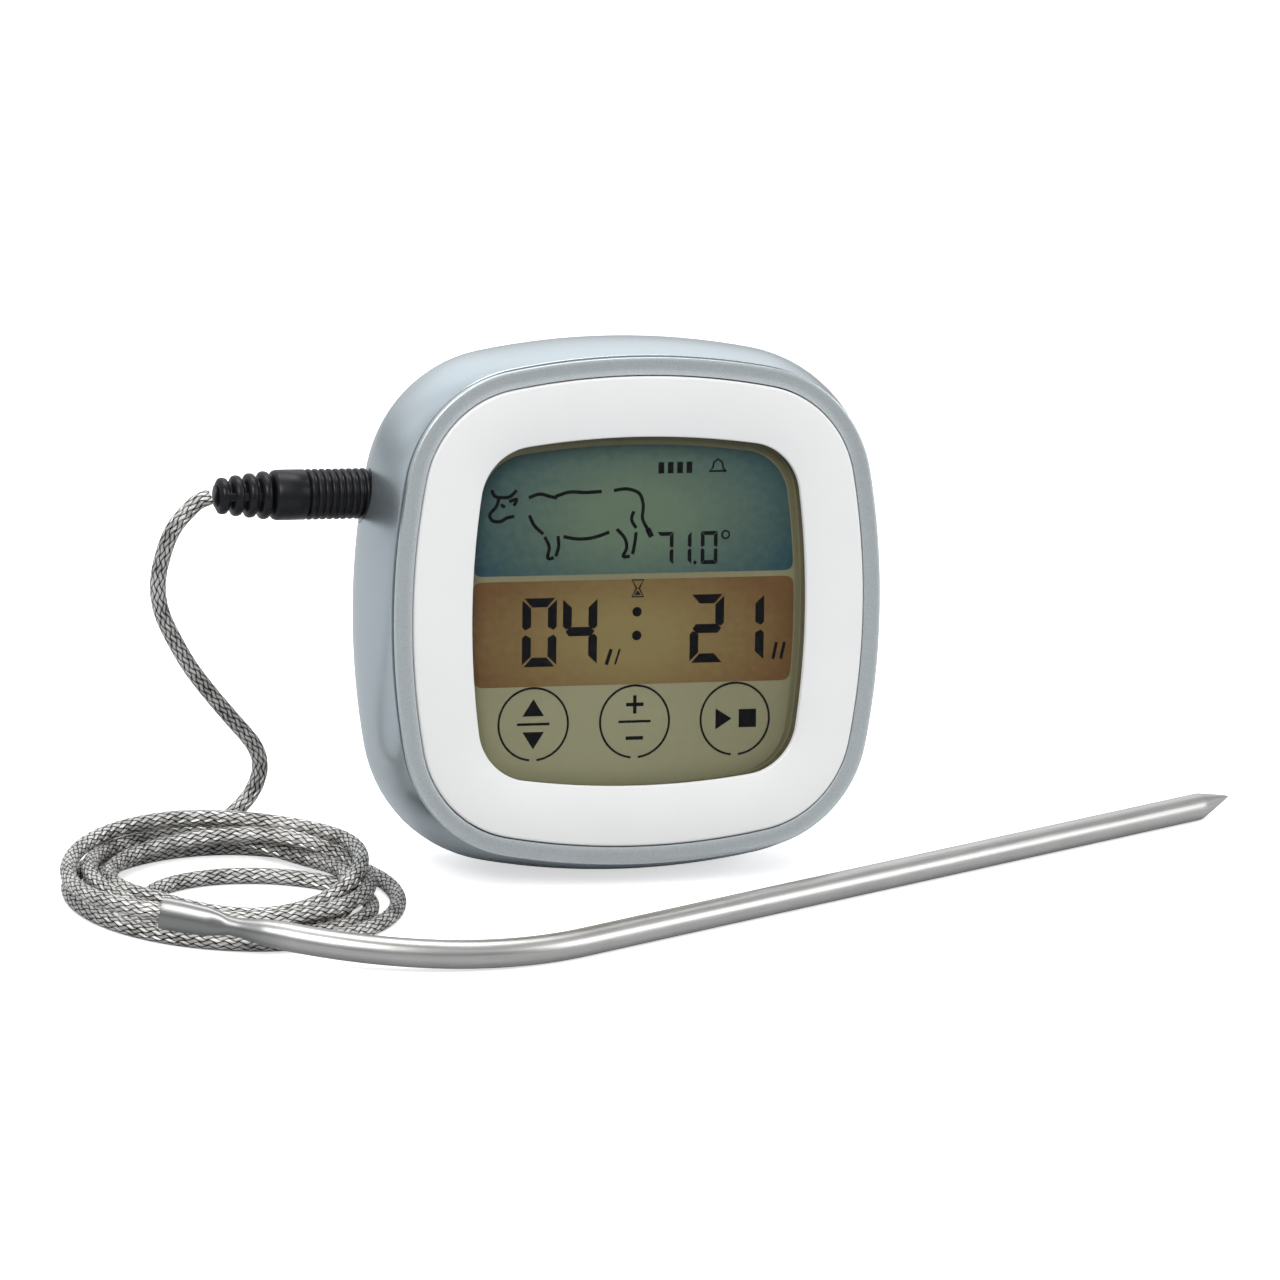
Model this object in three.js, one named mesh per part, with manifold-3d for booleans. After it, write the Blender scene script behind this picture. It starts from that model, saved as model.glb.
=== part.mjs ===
// Digital probe thermometer: a square touch-screen housing that leans back on a
// fold-out stand, with a bent steel probe on a braided cord that plugs into its side.
// Millimetres, +Z up. The front faces -Y. The origin is the middle of the small flat
// under the housing, and everything rests on the plane z = 0.

import * as THREE from 'three';
import { mergeVertices } from 'three/addons/utils/BufferGeometryUtils.js';
import Module from 'manifold-3d';

const wasm = await Module();
wasm.setup();

// ---------------------------------------------------------------- driving dimensions

const GAP = 0.3;                     // clearance kept between neighbouring pieces
const LEAN = THREE.MathUtils.degToRad(10);

// Outlines are soft squares: four shallow side arcs joined by four corner arcs.
const WINDOW_HALF = 24.85;           // half width of the display window
const FRAME_WIDTH = 8.55;            // white frame between the window and the grey ring
const FACE_SIDE_RADIUS = 104;
const FACE_CORNER_RADIUS = 15.4;
const WINDOW_SIDE_RADIUS = 121;
const WINDOW_CORNER_RADIUS = 8;

const BEZEL_BAND = 2.4;              // width of the grey ring seen from the front
const BEZEL_SETBACK = 0.3;
const BEZEL_TONGUE_DEPTH = 4.1;
const SHELL_STEP = 0.3;              // the shell's front edge stands out past the ring
const SHELL_FLARE = 1.8;             // growth from the front edge to the widest contour
const WIDEST_DEPTH = 12.7;
const BACK_ROUNDING = 5.8;
const SHELL_WALL = 1.6;
const REST_FLAT_DEPTH = 0.35;

const COVER_PLATE = 1.6;
const COVER_SKIRT_WALL = 1.2;
const COVER_SKIRT_DEPTH = 6.8;
const WINDOW_LIP = 0.9;
const LENS_THICKNESS = 1.2;
const LENS_MARGIN = 1.55;            // how far the lens reaches behind the window lip
const FILM_THICKNESS = 0.3;
const LCD_MARGIN = 0.35;             // how far the glass reaches past the window
const LCD_THICKNESS = 2;
const FRAME_WALL = 1.3;
const LIGHT_GUIDE_THICKNESS = 1.4;
const ZEBRA_HEIGHT = 2.2;
const BOARD_THICKNESS = 1;
const BOARD_EDGE_ROOM = 3.9;

const CELL_DIAMETER = 10.5;          // AAA
const CELL_LENGTH = 44.5;
const CELL_NUB_RADIUS = 1.9;
const CELL_NUB_LENGTH = 1.1;
const BAY_END_ROOM = 2.65;           // room for a spring and a contact at each cell end
const BAY_WALL = 1;
const BAY_BOTTOM = 3.8;
const CONTACT_THICKNESS = 0.4;
const DOOR_THICKNESS = 1.3;
const DOOR_LEDGE = 0.8;

const SCREW_Z = [6, -16];
const SCREW_SHAFT_RADIUS = 1;
const SCREW_LENGTH = 8.2;
const SCREW_HEAD_RADIUS = 2.1;
const SCREW_HEAD_HEIGHT = 1.6;
const SCREW_FLOOR = 3;               // plastic clamped under a screw head
const POST_RADIUS = 2.2;
const BOSS_RADIUS = 3.2;

const MAGNET_RADIUS = 5;
const MAGNET_THICKNESS = 2;
const MAGNET_Z = -6;

const STAND_HALF_WIDTH = 13;
const STAND_THICKNESS = 2.2;
const STAND_FOOT_RADIUS = 1.3;
const HINGE_RADIUS = 2.1;
const HINGE_INSET = 2.4;             // hinge axis below the back face
const PIN_RADIUS = 1;

const SWITCH_X = 22.9;
const SWITCH_Z = -22;
const SWITCH_TRAVEL = 3;
const KNOB_WIDTH = 3.6;
const KNOB_HEIGHT = 2.6;

const PLUG_DEPTH = 14.5;             // plug axis behind the front face
const PLUG_HEIGHT = 16.1;            // plug axis above the middle of the face
const PLUG_RADIUS = 3.6;
const PLUG_SEAT_DEPTH = 2;           // seat cut in the housing's side for the plug
const PLUG_RIBS = 9;
const PLUG_RIB_PITCH = 1;
const PLUG_COLLAR = 4.9;
const RELIEF_RING_RADII = [3.4, 3.15, 2.9, 2.6];
const RELIEF_RING_PITCH = 2;
const PIN_SLEEVE_LENGTH = 6;
const PIN_CONTACT_RADIUS = 1.25;
const JACK_LENGTH = 7;

const CORD_RADIUS = 1.15;
const COIL_CENTRE = [-58.2, -12.4];
const COIL_OUTER = 25.3;
const COIL_INNER = 15;
const COIL_SQUASH = 0.88;            // the coil is a little shorter front to back
const COIL_HEIGHT = 5.6;

const PROBE_RADIUS = 2;
const PROBE_BORE = 1.5;
const PROBE_POINT = 7;

// ---------------------------------------------------------------- derived places

const FACE_HALF = WINDOW_HALF + FRAME_WIDTH;
const BEZEL_HALF = FACE_HALF + GAP + BEZEL_BAND;
const BEZEL_BACK = BEZEL_SETBACK + 1.1;
const SHELL_FRONT = BEZEL_BACK + GAP;
const SHELL_FRONT_HALF = BEZEL_HALF + SHELL_STEP;
const WIDEST_HALF = SHELL_FRONT_HALF + SHELL_FLARE;
const BACK_HALF = WIDEST_HALF - BACK_ROUNDING;
const PLUG_SEAT_X = PLUG_SEAT_DEPTH - WIDEST_HALF;

const SCREW_X = FACE_HALF - COVER_SKIRT_WALL - POST_RADIUS - 1.1;
const LCD_HALF = WINDOW_HALF + LCD_MARGIN;
const FRAME_HALF = FACE_HALF - COVER_SKIRT_WALL - GAP;
const BOARD_HALF_WIDTH = SCREW_X - POST_RADIUS - 0.5;
const BOARD_HALF_HEIGHT = FACE_HALF - BOARD_EDGE_ROOM;
const LENS_FRONT = WINDOW_LIP + GAP;
const FILM_FRONT = LENS_FRONT + LENS_THICKNESS + GAP;
const LCD_FRONT = FILM_FRONT + FILM_THICKNESS + GAP;
const GUIDE_FRONT = LCD_FRONT + LCD_THICKNESS + GAP;
const BOARD_FRONT = GUIDE_FRONT + LIGHT_GUIDE_THICKNESS + 0.4;
const BOARD_BACK = BOARD_FRONT + BOARD_THICKNESS;

const CELL_RADIUS = CELL_DIAMETER / 2;
const BAY_FRONT = BOARD_BACK + GAP + BAY_WALL;
const CELL_DEPTH = BAY_FRONT + GAP + CELL_RADIUS;
const DOOR_FRONT = CELL_DEPTH + CELL_RADIUS + GAP;
const TOTAL_DEPTH = DOOR_FRONT + DOOR_THICKNESS;
const BAY_HALF = CELL_LENGTH / 2 + BAY_END_ROOM;
const CELL_PITCH = CELL_DIAMETER + GAP;
const CELL_HEIGHTS = [0, 1].map((i) => BAY_BOTTOM + GAP + CELL_RADIUS + i * CELL_PITCH);
const BAY_TOP = CELL_HEIGHTS[1] + CELL_RADIUS + GAP;

const HINGE_DEPTH = TOTAL_DEPTH - HINGE_INSET;
const HINGE_HEIGHT = BAY_BOTTOM - BAY_WALL - 1.4 - HINGE_RADIUS - GAP;
const STAND_LENGTH = WIDEST_HALF + HINGE_HEIGHT - STAND_FOOT_RADIUS - 0.6;
const POCKET_HALF = STAND_HALF_WIDTH + 0.5;
const MAGNET_X = POCKET_HALF + MAGNET_RADIUS + 3.3;

// ---------------------------------------------------------------- geometry helpers

function solid(geometry) {
  const plain = geometry.clone();
  plain.deleteAttribute('normal');
  plain.deleteAttribute('uv');
  const merged = mergeVertices(plain, 1e-4);
  return new wasm.Manifold(new wasm.Mesh({
    numProp: 3,
    vertProperties: Float32Array.from(merged.getAttribute('position').array),
    triVerts: Uint32Array.from(merged.getIndex().array),
  }));
}

function geometryOf(manifold) {
  const mesh = manifold.getMesh();
  const geometry = new THREE.BufferGeometry();
  geometry.setAttribute('position', new THREE.BufferAttribute(mesh.vertProperties, 3));
  geometry.setIndex(new THREE.BufferAttribute(mesh.triVerts, 1));
  geometry.computeVertexNormals();
  return geometry;
}

// A soft square centred on the origin.
function softSquare(half, sideRadius, cornerRadius) {
  const k = half - sideRadius;
  const reach = sideRadius - cornerRadius;
  const centre = (k + Math.sqrt(2 * reach * reach - k * k)) / 2;
  const tilt = Math.atan2(centre - k, centre);
  const quarter = Math.PI / 2;
  const shape = new THREE.Shape();
  for (let i = 0; i < 4; i += 1) {
    const turn = i * quarter;
    const side = new THREE.Vector2(k, 0).rotateAround(new THREE.Vector2(), turn);
    const corner = new THREE.Vector2(centre, centre).rotateAround(new THREE.Vector2(), turn);
    shape.absarc(side.x, side.y, sideRadius, turn + tilt - quarter, turn + quarter - tilt);
    shape.absarc(corner.x, corner.y, cornerRadius, turn + quarter - tilt, turn + tilt);
  }
  return shape;
}

// The family of outlines parallel to the edge of the face.
function faceOutline(half) {
  const grow = half - FACE_HALF;
  return softSquare(half, FACE_SIDE_RADIUS + grow, FACE_CORNER_RADIUS + grow);
}

function windowOutline(half) {
  const grow = half - WINDOW_HALF;
  return softSquare(half, WINDOW_SIDE_RADIUS + grow, WINDOW_CORNER_RADIUS + grow);
}

// A flat shape drawn in X and Z, made solid from depth y0 to y1.
function slab(shape, y0, y1, curveSegments = 4) {
  const options = { depth: y1 - y0, bevelEnabled: false, curveSegments };
  const geometry = new THREE.ExtrudeGeometry(shape, options);
  geometry.rotateX(Math.PI / 2);
  geometry.translate(0, y1, 0);
  return solid(geometry);
}

// A stack of scaled face outlines. Stations run from back to front as [depth, half].
function loft(stations, curveSegments = 4) {
  const steps = stations.length - 1;
  const options = { depth: steps, steps, bevelEnabled: false, curveSegments };
  const geometry = new THREE.ExtrudeGeometry(faceOutline(WIDEST_HALF), options);
  const position = geometry.getAttribute('position');
  for (let i = 0; i < position.count; i += 1) {
    const [depth, half] = stations[Math.round(position.getZ(i))];
    const scale = half / WIDEST_HALF;
    position.setXYZ(i, position.getX(i) * scale, depth, position.getY(i) * scale);
  }
  return solid(geometry);
}

function box(x0, x1, y0, y1, z0, z1) {
  const geometry = new THREE.BoxGeometry(x1 - x0, y1 - y0, z1 - z0);
  geometry.translate((x0 + x1) / 2, (y0 + y1) / 2, (z0 + z1) / 2);
  return solid(geometry);
}

// A round bar along Y (the housing's depth).
function barY(x, z, radius, y0, y1, segments = 16) {
  const geometry = new THREE.CylinderGeometry(radius, radius, y1 - y0, segments);
  geometry.translate(x, (y0 + y1) / 2, z);
  return solid(geometry);
}

// A round bar along X.
function barX(y, z, radius, x0, x1, segments = 16) {
  const geometry = new THREE.CylinderGeometry(radius, radius, x1 - x0, segments);
  geometry.rotateZ(-Math.PI / 2);
  geometry.translate((x0 + x1) / 2, y, z);
  return solid(geometry);
}

// A turned piece about an X axis through (y, z). Points are [x, radius].
function turnedX(points, y, z, segments = 16) {
  const profile = points.map(([x, radius]) => new THREE.Vector2(radius, x));
  const geometry = new THREE.LatheGeometry(profile, segments);
  geometry.rotateZ(-Math.PI / 2);
  geometry.translate(0, y, z);
  return solid(geometry);
}

function circle(radius) {
  return new THREE.Shape().absarc(0, 0, radius, 0, Math.PI * 2);
}

function tubeAlong(path, radius, sides, steps) {
  const options = { extrudePath: path, steps, bevelEnabled: false, curveSegments: sides / 2 };
  return new THREE.ExtrudeGeometry(circle(radius), options);
}

function material(color, roughness, metalness = 0) {
  return new THREE.MeshStandardMaterial({ color, roughness, metalness });
}

function add(group, name, shape, look) {
  const geometry = shape.isBufferGeometry ? shape : geometryOf(shape);
  const mesh = new THREE.Mesh(geometry, look());
  mesh.name = name;
  group.add(mesh);
}

const looks = {
  whitePlastic: () => material(0xebebe9, 0.4),
  clearLens: () => material(0xb9bda6, 0.08),
  greyMetallic: () => material(0xa9b0b5, 0.35, 0.7),
  silverShell: () => material(0xa5b0b6, 0.3, 0.6),
  glass: () => material(0x8c8d70, 0.1),
  diffuser: () => material(0xd9d9d0, 0.5),
  darkPlastic: () => material(0x1c1d20, 0.45),
  blackRubber: () => material(0x15161a, 0.55),
  board: () => material(0x1f5a34, 0.5),
  epoxy: () => material(0x101012, 0.25),
  nickel: () => material(0xc4c6c8, 0.25, 1),
  spring: () => material(0xbfc1c2, 0.3, 1),
  cellJacket: () => material(0x3a5f7d, 0.4),
  steel: () => material(0xb2afa9, 0.3, 1),
  braid: () => material(0x8f8c86, 0.4, 1),
  brass: () => material(0xb9a263, 0.35, 1),
};

// ---------------------------------------------------------------- the housing's shell

// Half size of the housing at each depth, from back to front, set in by a wall.
function shellStations(inset, frontDepth) {
  const stations = [];
  const backSteps = 5;
  for (let i = backSteps; i > 0; i -= 1) {
    const angle = (i / backSteps) * Math.PI / 2;
    const depth = WIDEST_DEPTH + (TOTAL_DEPTH - WIDEST_DEPTH - inset) * Math.sin(angle);
    stations.push([depth, BACK_HALF + (BACK_ROUNDING - inset) * Math.cos(angle)]);
  }
  const frontSteps = 3;
  for (let i = 0; i <= frontSteps; i += 1) {
    const share = i / frontSteps;
    const depth = WIDEST_DEPTH + (frontDepth - WIDEST_DEPTH) * share;
    stations.push([depth, WIDEST_HALF - inset - SHELL_FLARE * share * share]);
  }
  return stations;
}

const outerStations = shellStations(0, SHELL_FRONT);
const outerBody = loft(outerStations);

// The housing leans back about its lowest contour, which the rest flat trims.
const housing = new THREE.Group();
housing.rotation.x = -LEAN;
const heights = outerStations.map(([depth, half]) => -depth * Math.sin(LEAN) - half * Math.cos(LEAN));
const lowest = heights.indexOf(Math.min(...heights));
const [lowestDepth, lowestHalf] = outerStations[lowest];
housing.position.y = -lowestDepth * Math.cos(LEAN) + lowestHalf * Math.sin(LEAN);
housing.position.z = -heights[lowest] - REST_FLAT_DEPTH;
housing.updateMatrixWorld(true);

function belowGround() {
  const reach = 4 * WIDEST_HALF;
  const geometry = new THREE.BoxGeometry(reach, reach, reach);
  geometry.translate(0, 0, -reach / 2);
  geometry.applyMatrix4(housing.matrixWorld.clone().invert());
  return solid(geometry);
}

const screwPlaces = [-1, 1].flatMap((side) => SCREW_Z.map((z) => [side * SCREW_X, z]));
const screwHeadFloor = BOARD_BACK + 0.5 + SCREW_FLOOR;

function standPocket() {
  const bottom = -WIDEST_HALF - 2;
  const top = HINGE_HEIGHT + HINGE_RADIUS + GAP;
  const legFloor = HINGE_DEPTH - 1.1;
  const leg = box(-POCKET_HALF, POCKET_HALF, legFloor, TOTAL_DEPTH + 2, bottom, top);
  const barrel = box(-POCKET_HALF, POCKET_HALF, HINGE_DEPTH - HINGE_RADIUS - GAP,
    TOTAL_DEPTH + 2, HINGE_HEIGHT - HINGE_RADIUS - GAP, top);
  return leg.add(barrel);
}

function rearShell() {
  const back = TOTAL_DEPTH + 1;
  let cavity = loft(shellStations(SHELL_WALL, SHELL_FRONT - 1));
  const bayOuter = BAY_HALF + BAY_WALL;
  const solids = [
    box(-bayOuter, bayOuter, BAY_FRONT - BAY_WALL, back, BAY_BOTTOM - BAY_WALL, BAY_TOP + BAY_WALL),
    box(-POCKET_HALF - 2.6, POCKET_HALF + 2.6, HINGE_DEPTH - HINGE_RADIUS - GAP - 1.4, back,
      -WIDEST_HALF - 2, BAY_BOTTOM - BAY_WALL + 0.2),
    ...screwPlaces.map(([x, z]) => barY(x, z, BOSS_RADIUS, BOARD_BACK + 0.5, back, 20)),
    ...[-1, 1].map((side) => barY(side * MAGNET_X, MAGNET_Z, MAGNET_RADIUS + 1.4,
      TOTAL_DEPTH - MAGNET_THICKNESS - GAP - 1.2, back, 24)),
  ];
  solids.forEach((piece) => { cavity = cavity.subtract(piece); });

  let shell = outerBody.subtract(cavity);
  const doorHalf = BAY_HALF + DOOR_LEDGE + GAP;
  const slotHalf = (KNOB_WIDTH + SWITCH_TRAVEL) / 2 + GAP;
  const slotMiddle = SWITCH_X - SWITCH_TRAVEL / 2;
  const cuts = [
    box(-BAY_HALF, BAY_HALF, BAY_FRONT, back, BAY_BOTTOM, BAY_TOP),
    box(-doorHalf, doorHalf, DOOR_FRONT - GAP, back, BAY_BOTTOM, BAY_TOP),
    standPocket(),
    barX(HINGE_DEPTH, HINGE_HEIGHT, PIN_RADIUS + GAP, -POCKET_HALF - 1.6, POCKET_HALF + 1.6),
    ...screwPlaces.map(([x, z]) => barY(x, z, SCREW_HEAD_RADIUS + 0.35, screwHeadFloor, back)),
    ...screwPlaces.map(([x, z]) => barY(x, z, SCREW_SHAFT_RADIUS + GAP, BOARD_BACK, back)),
    ...[-1, 1].map((side) => barY(side * MAGNET_X, MAGNET_Z, MAGNET_RADIUS + GAP,
      TOTAL_DEPTH - MAGNET_THICKNESS - GAP, back, 24)),
    box(slotMiddle - slotHalf, slotMiddle + slotHalf, TOTAL_DEPTH - 4, back,
      SWITCH_Z - KNOB_HEIGHT / 2 - GAP, SWITCH_Z + KNOB_HEIGHT / 2 + GAP),
    barX(PLUG_DEPTH, PLUG_HEIGHT, PLUG_RADIUS + 0.6, -WIDEST_HALF - 2, PLUG_SEAT_X, 24),
    barX(PLUG_DEPTH, PLUG_HEIGHT, 2.7, -WIDEST_HALF - 2, PLUG_SEAT_X + 4),
    ...[0, 1, 2, 3, 4].map((i) => barY(-18 - 1.8 * (i % 3), -21.5 - 2.4 * Math.floor(i / 3), 0.6,
      TOTAL_DEPTH - 4, back, 8)),
    belowGround(),
  ];
  cuts.forEach((piece) => { shell = shell.subtract(piece); });
  return shell;
}

function bezelRing() {
  const band = slab(faceOutline(BEZEL_HALF), BEZEL_SETBACK, BEZEL_BACK);
  const tongueHalf = SHELL_FRONT_HALF - SHELL_WALL - GAP;
  const tongue = slab(faceOutline(tongueHalf), BEZEL_BACK - 0.2, BEZEL_BACK + BEZEL_TONGUE_DEPTH);
  const opening = slab(faceOutline(FACE_HALF + GAP), -1, TOTAL_DEPTH);
  return band.add(tongue).subtract(opening);
}

// ---------------------------------------------------------------- front and display

function frontCover() {
  const plate = slab(faceOutline(FACE_HALF), 0, COVER_SKIRT_DEPTH);
  const hollow = slab(faceOutline(FACE_HALF - COVER_SKIRT_WALL), COVER_PLATE, TOTAL_DEPTH);
  let cover = plate.subtract(hollow);
  screwPlaces.forEach(([x, z]) => {
    cover = cover.add(barY(x, z, POST_RADIUS, COVER_PLATE - 0.5, BOARD_BACK));
    cover = cover.subtract(barY(x, z, SCREW_SHAFT_RADIUS + GAP, COVER_PLATE + 0.6, TOTAL_DEPTH));
  });
  const lensHalf = WINDOW_HALF + LENS_MARGIN + GAP;
  cover = cover.subtract(slab(windowOutline(lensHalf), WINDOW_LIP, COVER_PLATE + 1));
  return cover.subtract(slab(windowOutline(WINDOW_HALF), -1, COVER_PLATE + 1));
}

// What lies in the display frame: square, with its corners kept off the frame's outline.
function framedSquare(half, y0, y1, bottom = -half) {
  const clip = faceOutline(FRAME_HALF - FRAME_WALL + half - LCD_HALF - GAP);
  return box(-half, half, y0, y1, bottom, half).intersect(slab(clip, y0 - 1, y1 + 1));
}

function lcdFrame() {
  let frame = slab(faceOutline(FRAME_HALF), LCD_FRONT, BOARD_FRONT - GAP);
  frame = frame.subtract(framedSquare(LCD_HALF + GAP, 0, TOTAL_DEPTH));
  screwPlaces.forEach(([x, z]) => {
    frame = frame.subtract(barY(x, z, POST_RADIUS + GAP, 0, TOTAL_DEPTH));
  });
  return frame;
}

// The board has a tab that reaches out under the probe jack.
function mainBoard() {
  const board = box(-BOARD_HALF_WIDTH, BOARD_HALF_WIDTH, BOARD_FRONT, BOARD_BACK,
    -BOARD_HALF_HEIGHT, BOARD_HALF_HEIGHT);
  const tab = box(PLUG_SEAT_X + SHELL_WALL + 1, 0, BOARD_FRONT, BOARD_BACK,
    PLUG_HEIGHT - 3.4, PLUG_HEIGHT + 3.4);
  return board.add(tab);
}

function controllerBlob() {
  const profile = [[0, 0], [5.5, 0], [4.9, 0.7], [3.2, 1.3], [0, 1.5]];
  const geometry = new THREE.LatheGeometry(profile.map(([r, h]) => new THREE.Vector2(r, h)), 20);
  geometry.translate(-4, BOARD_BACK + GAP, -9);
  return solid(geometry);
}

function buzzer() {
  const y = BOARD_BACK + GAP;
  const can = barY(-20, -22, 5.5, y, y + 4, 24);
  return can.subtract(barY(-20, -22, 1, y + 3, y + 6, 12));
}

function addDisplay() {
  const lensHalf = WINDOW_HALF + LENS_MARGIN;
  const filmBack = FILM_FRONT + FILM_THICKNESS;
  const guideBack = GUIDE_FRONT + LIGHT_GUIDE_THICKNESS;
  const zebraTop = -LCD_HALF + ZEBRA_HEIGHT;
  add(housing, 'front_cover', frontCover(), looks.whitePlastic);
  add(housing, 'bezel_ring', bezelRing(), looks.greyMetallic);
  add(housing, 'touch_lens', slab(windowOutline(lensHalf), LENS_FRONT, LENS_FRONT + LENS_THICKNESS),
    looks.clearLens);
  add(housing, 'touch_film', slab(windowOutline(lensHalf), FILM_FRONT, filmBack), looks.clearLens);
  add(housing, 'lcd_glass', framedSquare(LCD_HALF, LCD_FRONT, LCD_FRONT + LCD_THICKNESS), looks.glass);
  add(housing, 'light_guide', framedSquare(LCD_HALF, GUIDE_FRONT, guideBack, zebraTop + GAP),
    looks.diffuser);
  add(housing, 'zebra_strip', box(-LCD_HALF + 3, LCD_HALF - 3, GUIDE_FRONT, BOARD_FRONT - GAP,
    -LCD_HALF, zebraTop), looks.blackRubber);
  add(housing, 'lcd_frame', lcdFrame(), looks.darkPlastic);
}

function addElectronics() {
  const y = BOARD_BACK + GAP;
  const jackStart = PLUG_SEAT_X + SHELL_WALL + 1.2;
  const jackBlock = box(jackStart, jackStart + JACK_LENGTH, y, PLUG_DEPTH + 3.1,
    PLUG_HEIGHT - 3.4, PLUG_HEIGHT + 3.4);
  const jackNose = barX(PLUG_DEPTH, PLUG_HEIGHT, 2.4, PLUG_SEAT_X + GAP, jackStart + 0.5);
  const jackBore = barX(PLUG_DEPTH, PLUG_HEIGHT, PIN_CONTACT_RADIUS + GAP, -WIDEST_HALF, 0);
  add(housing, 'main_board', mainBoard(), looks.board);
  add(housing, 'controller_blob', controllerBlob(), looks.epoxy);
  add(housing, 'buzzer', buzzer(), looks.darkPlastic);
  add(housing, 'clock_crystal', barX(y + 1.1, -27, 1.1, 0, 6.5, 12), looks.nickel);
  add(housing, 'probe_jack', jackBlock.add(jackNose).subtract(jackBore), looks.darkPlastic);
}

// ---------------------------------------------------------------- batteries and door

// Cells lie along X. The nub points to +X for the lower cell and to -X for the upper one.
function cell(height, direction) {
  const end = CELL_LENGTH / 2;
  const shoulder = end - CELL_NUB_LENGTH;
  const profile = [[-end, 0], [-end, CELL_RADIUS - 0.4], [-end + 0.4, CELL_RADIUS],
    [shoulder - 0.4, CELL_RADIUS], [shoulder, CELL_RADIUS - 0.4], [shoulder, CELL_NUB_RADIUS],
    [end, CELL_NUB_RADIUS], [end, 0]];
  const points = profile.map(([x, radius]) => [x * direction, radius]);
  return turnedX(direction > 0 ? points : points.reverse(), CELL_DEPTH, height, 20);
}

function contactPlate(side, z0, z1) {
  const outer = side * (BAY_HALF - GAP);
  const inner = side * (BAY_HALF - GAP - CONTACT_THICKNESS);
  return box(Math.min(outer, inner), Math.max(outer, inner), CELL_DEPTH - 3.6, CELL_DEPTH + 3.6, z0, z1);
}

// A short conical spring between a contact plate and the flat end of a cell.
function contactSpring(side, height) {
  const start = CELL_LENGTH / 2 + 0.45;
  const end = BAY_HALF - GAP - CONTACT_THICKNESS - 0.45;
  const turns = 2;
  const points = [];
  for (let i = 0; i <= 12 * turns; i += 1) {
    const share = i / (12 * turns);
    const angle = share * turns * Math.PI * 2;
    const radius = 2 + 1.6 * share;
    const x = side * (start + (end - start) * share);
    points.push(new THREE.Vector3(x, CELL_DEPTH + radius * Math.cos(angle),
      height + radius * Math.sin(angle)));
  }
  return tubeAlong(new THREE.CatmullRomCurve3(points), 0.2, 6, 22);
}

function batteryDoor() {
  const half = BAY_HALF + DOOR_LEDGE;
  let door = box(-half, half, DOOR_FRONT, TOTAL_DEPTH + 1, BAY_BOTTOM + GAP, BAY_TOP - GAP);
  door = door.intersect(outerBody);
  for (let i = 0; i < 3; i += 1) {
    const z = BAY_BOTTOM + 2.6 + i * 1.6;
    door = door.subtract(box(-6, 6, TOTAL_DEPTH - 0.5, TOTAL_DEPTH + 1, z, z + 0.8));
  }
  return door;
}

function addBatteries() {
  const [lower, upper] = CELL_HEIGHTS;
  add(housing, 'battery_cell_1', cell(lower, 1), looks.cellJacket);
  add(housing, 'battery_cell_2', cell(upper, -1), looks.cellJacket);
  add(housing, 'contact_bridge', contactPlate(-1, lower - 4, upper + 4), looks.nickel);
  add(housing, 'contact_plus', contactPlate(1, lower - 4, lower + 4), looks.nickel);
  add(housing, 'contact_minus', contactPlate(1, upper - 4, upper + 4), looks.nickel);
  add(housing, 'contact_spring_1', contactSpring(-1, lower), looks.spring);
  add(housing, 'contact_spring_2', contactSpring(1, upper), looks.spring);
  add(housing, 'battery_door', batteryDoor(), looks.silverShell);
}

// ---------------------------------------------------------------- stand, magnets, screws

// The stand opens until its rounded foot reaches the ground plane.
function standOpenAngle() {
  const axis = new THREE.Vector3(0, HINGE_DEPTH, HINGE_HEIGHT).applyMatrix4(housing.matrixWorld);
  const footOffset = standMiddle();
  const reach = Math.hypot(STAND_LENGTH, footOffset);
  const fromVertical = Math.acos((axis.z - STAND_FOOT_RADIUS) / reach);
  return fromVertical + LEAN - Math.atan2(footOffset, STAND_LENGTH);
}

function standMiddle() {
  return HINGE_INSET - 0.5 - STAND_THICKNESS / 2;
}

function addStand() {
  const leg = new THREE.Group();
  leg.position.set(0, HINGE_DEPTH, HINGE_HEIGHT);
  leg.rotation.x = standOpenAngle();
  housing.add(leg);
  const middle = standMiddle();
  const half = STAND_THICKNESS / 2;
  let stand = box(-STAND_HALF_WIDTH, STAND_HALF_WIDTH, middle - half, middle + half, -STAND_LENGTH, 0);
  stand = stand.add(barX(0, 0, HINGE_RADIUS, -STAND_HALF_WIDTH, STAND_HALF_WIDTH, 20));
  stand = stand.add(barX(middle, -STAND_LENGTH, STAND_FOOT_RADIUS, -STAND_HALF_WIDTH,
    STAND_HALF_WIDTH, 16));
  stand = stand.subtract(barY(0, -STAND_LENGTH - 3, 6, -5, 5, 24));
  stand = stand.subtract(barX(0, 0, PIN_RADIUS + GAP, -2 * STAND_HALF_WIDTH, 2 * STAND_HALF_WIDTH));
  add(leg, 'stand', stand, looks.silverShell);
  add(housing, 'stand_pin', barX(HINGE_DEPTH, HINGE_HEIGHT, PIN_RADIUS, -POCKET_HALF - 1.3,
    POCKET_HALF + 1.3, 12), looks.nickel);
}

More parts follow.
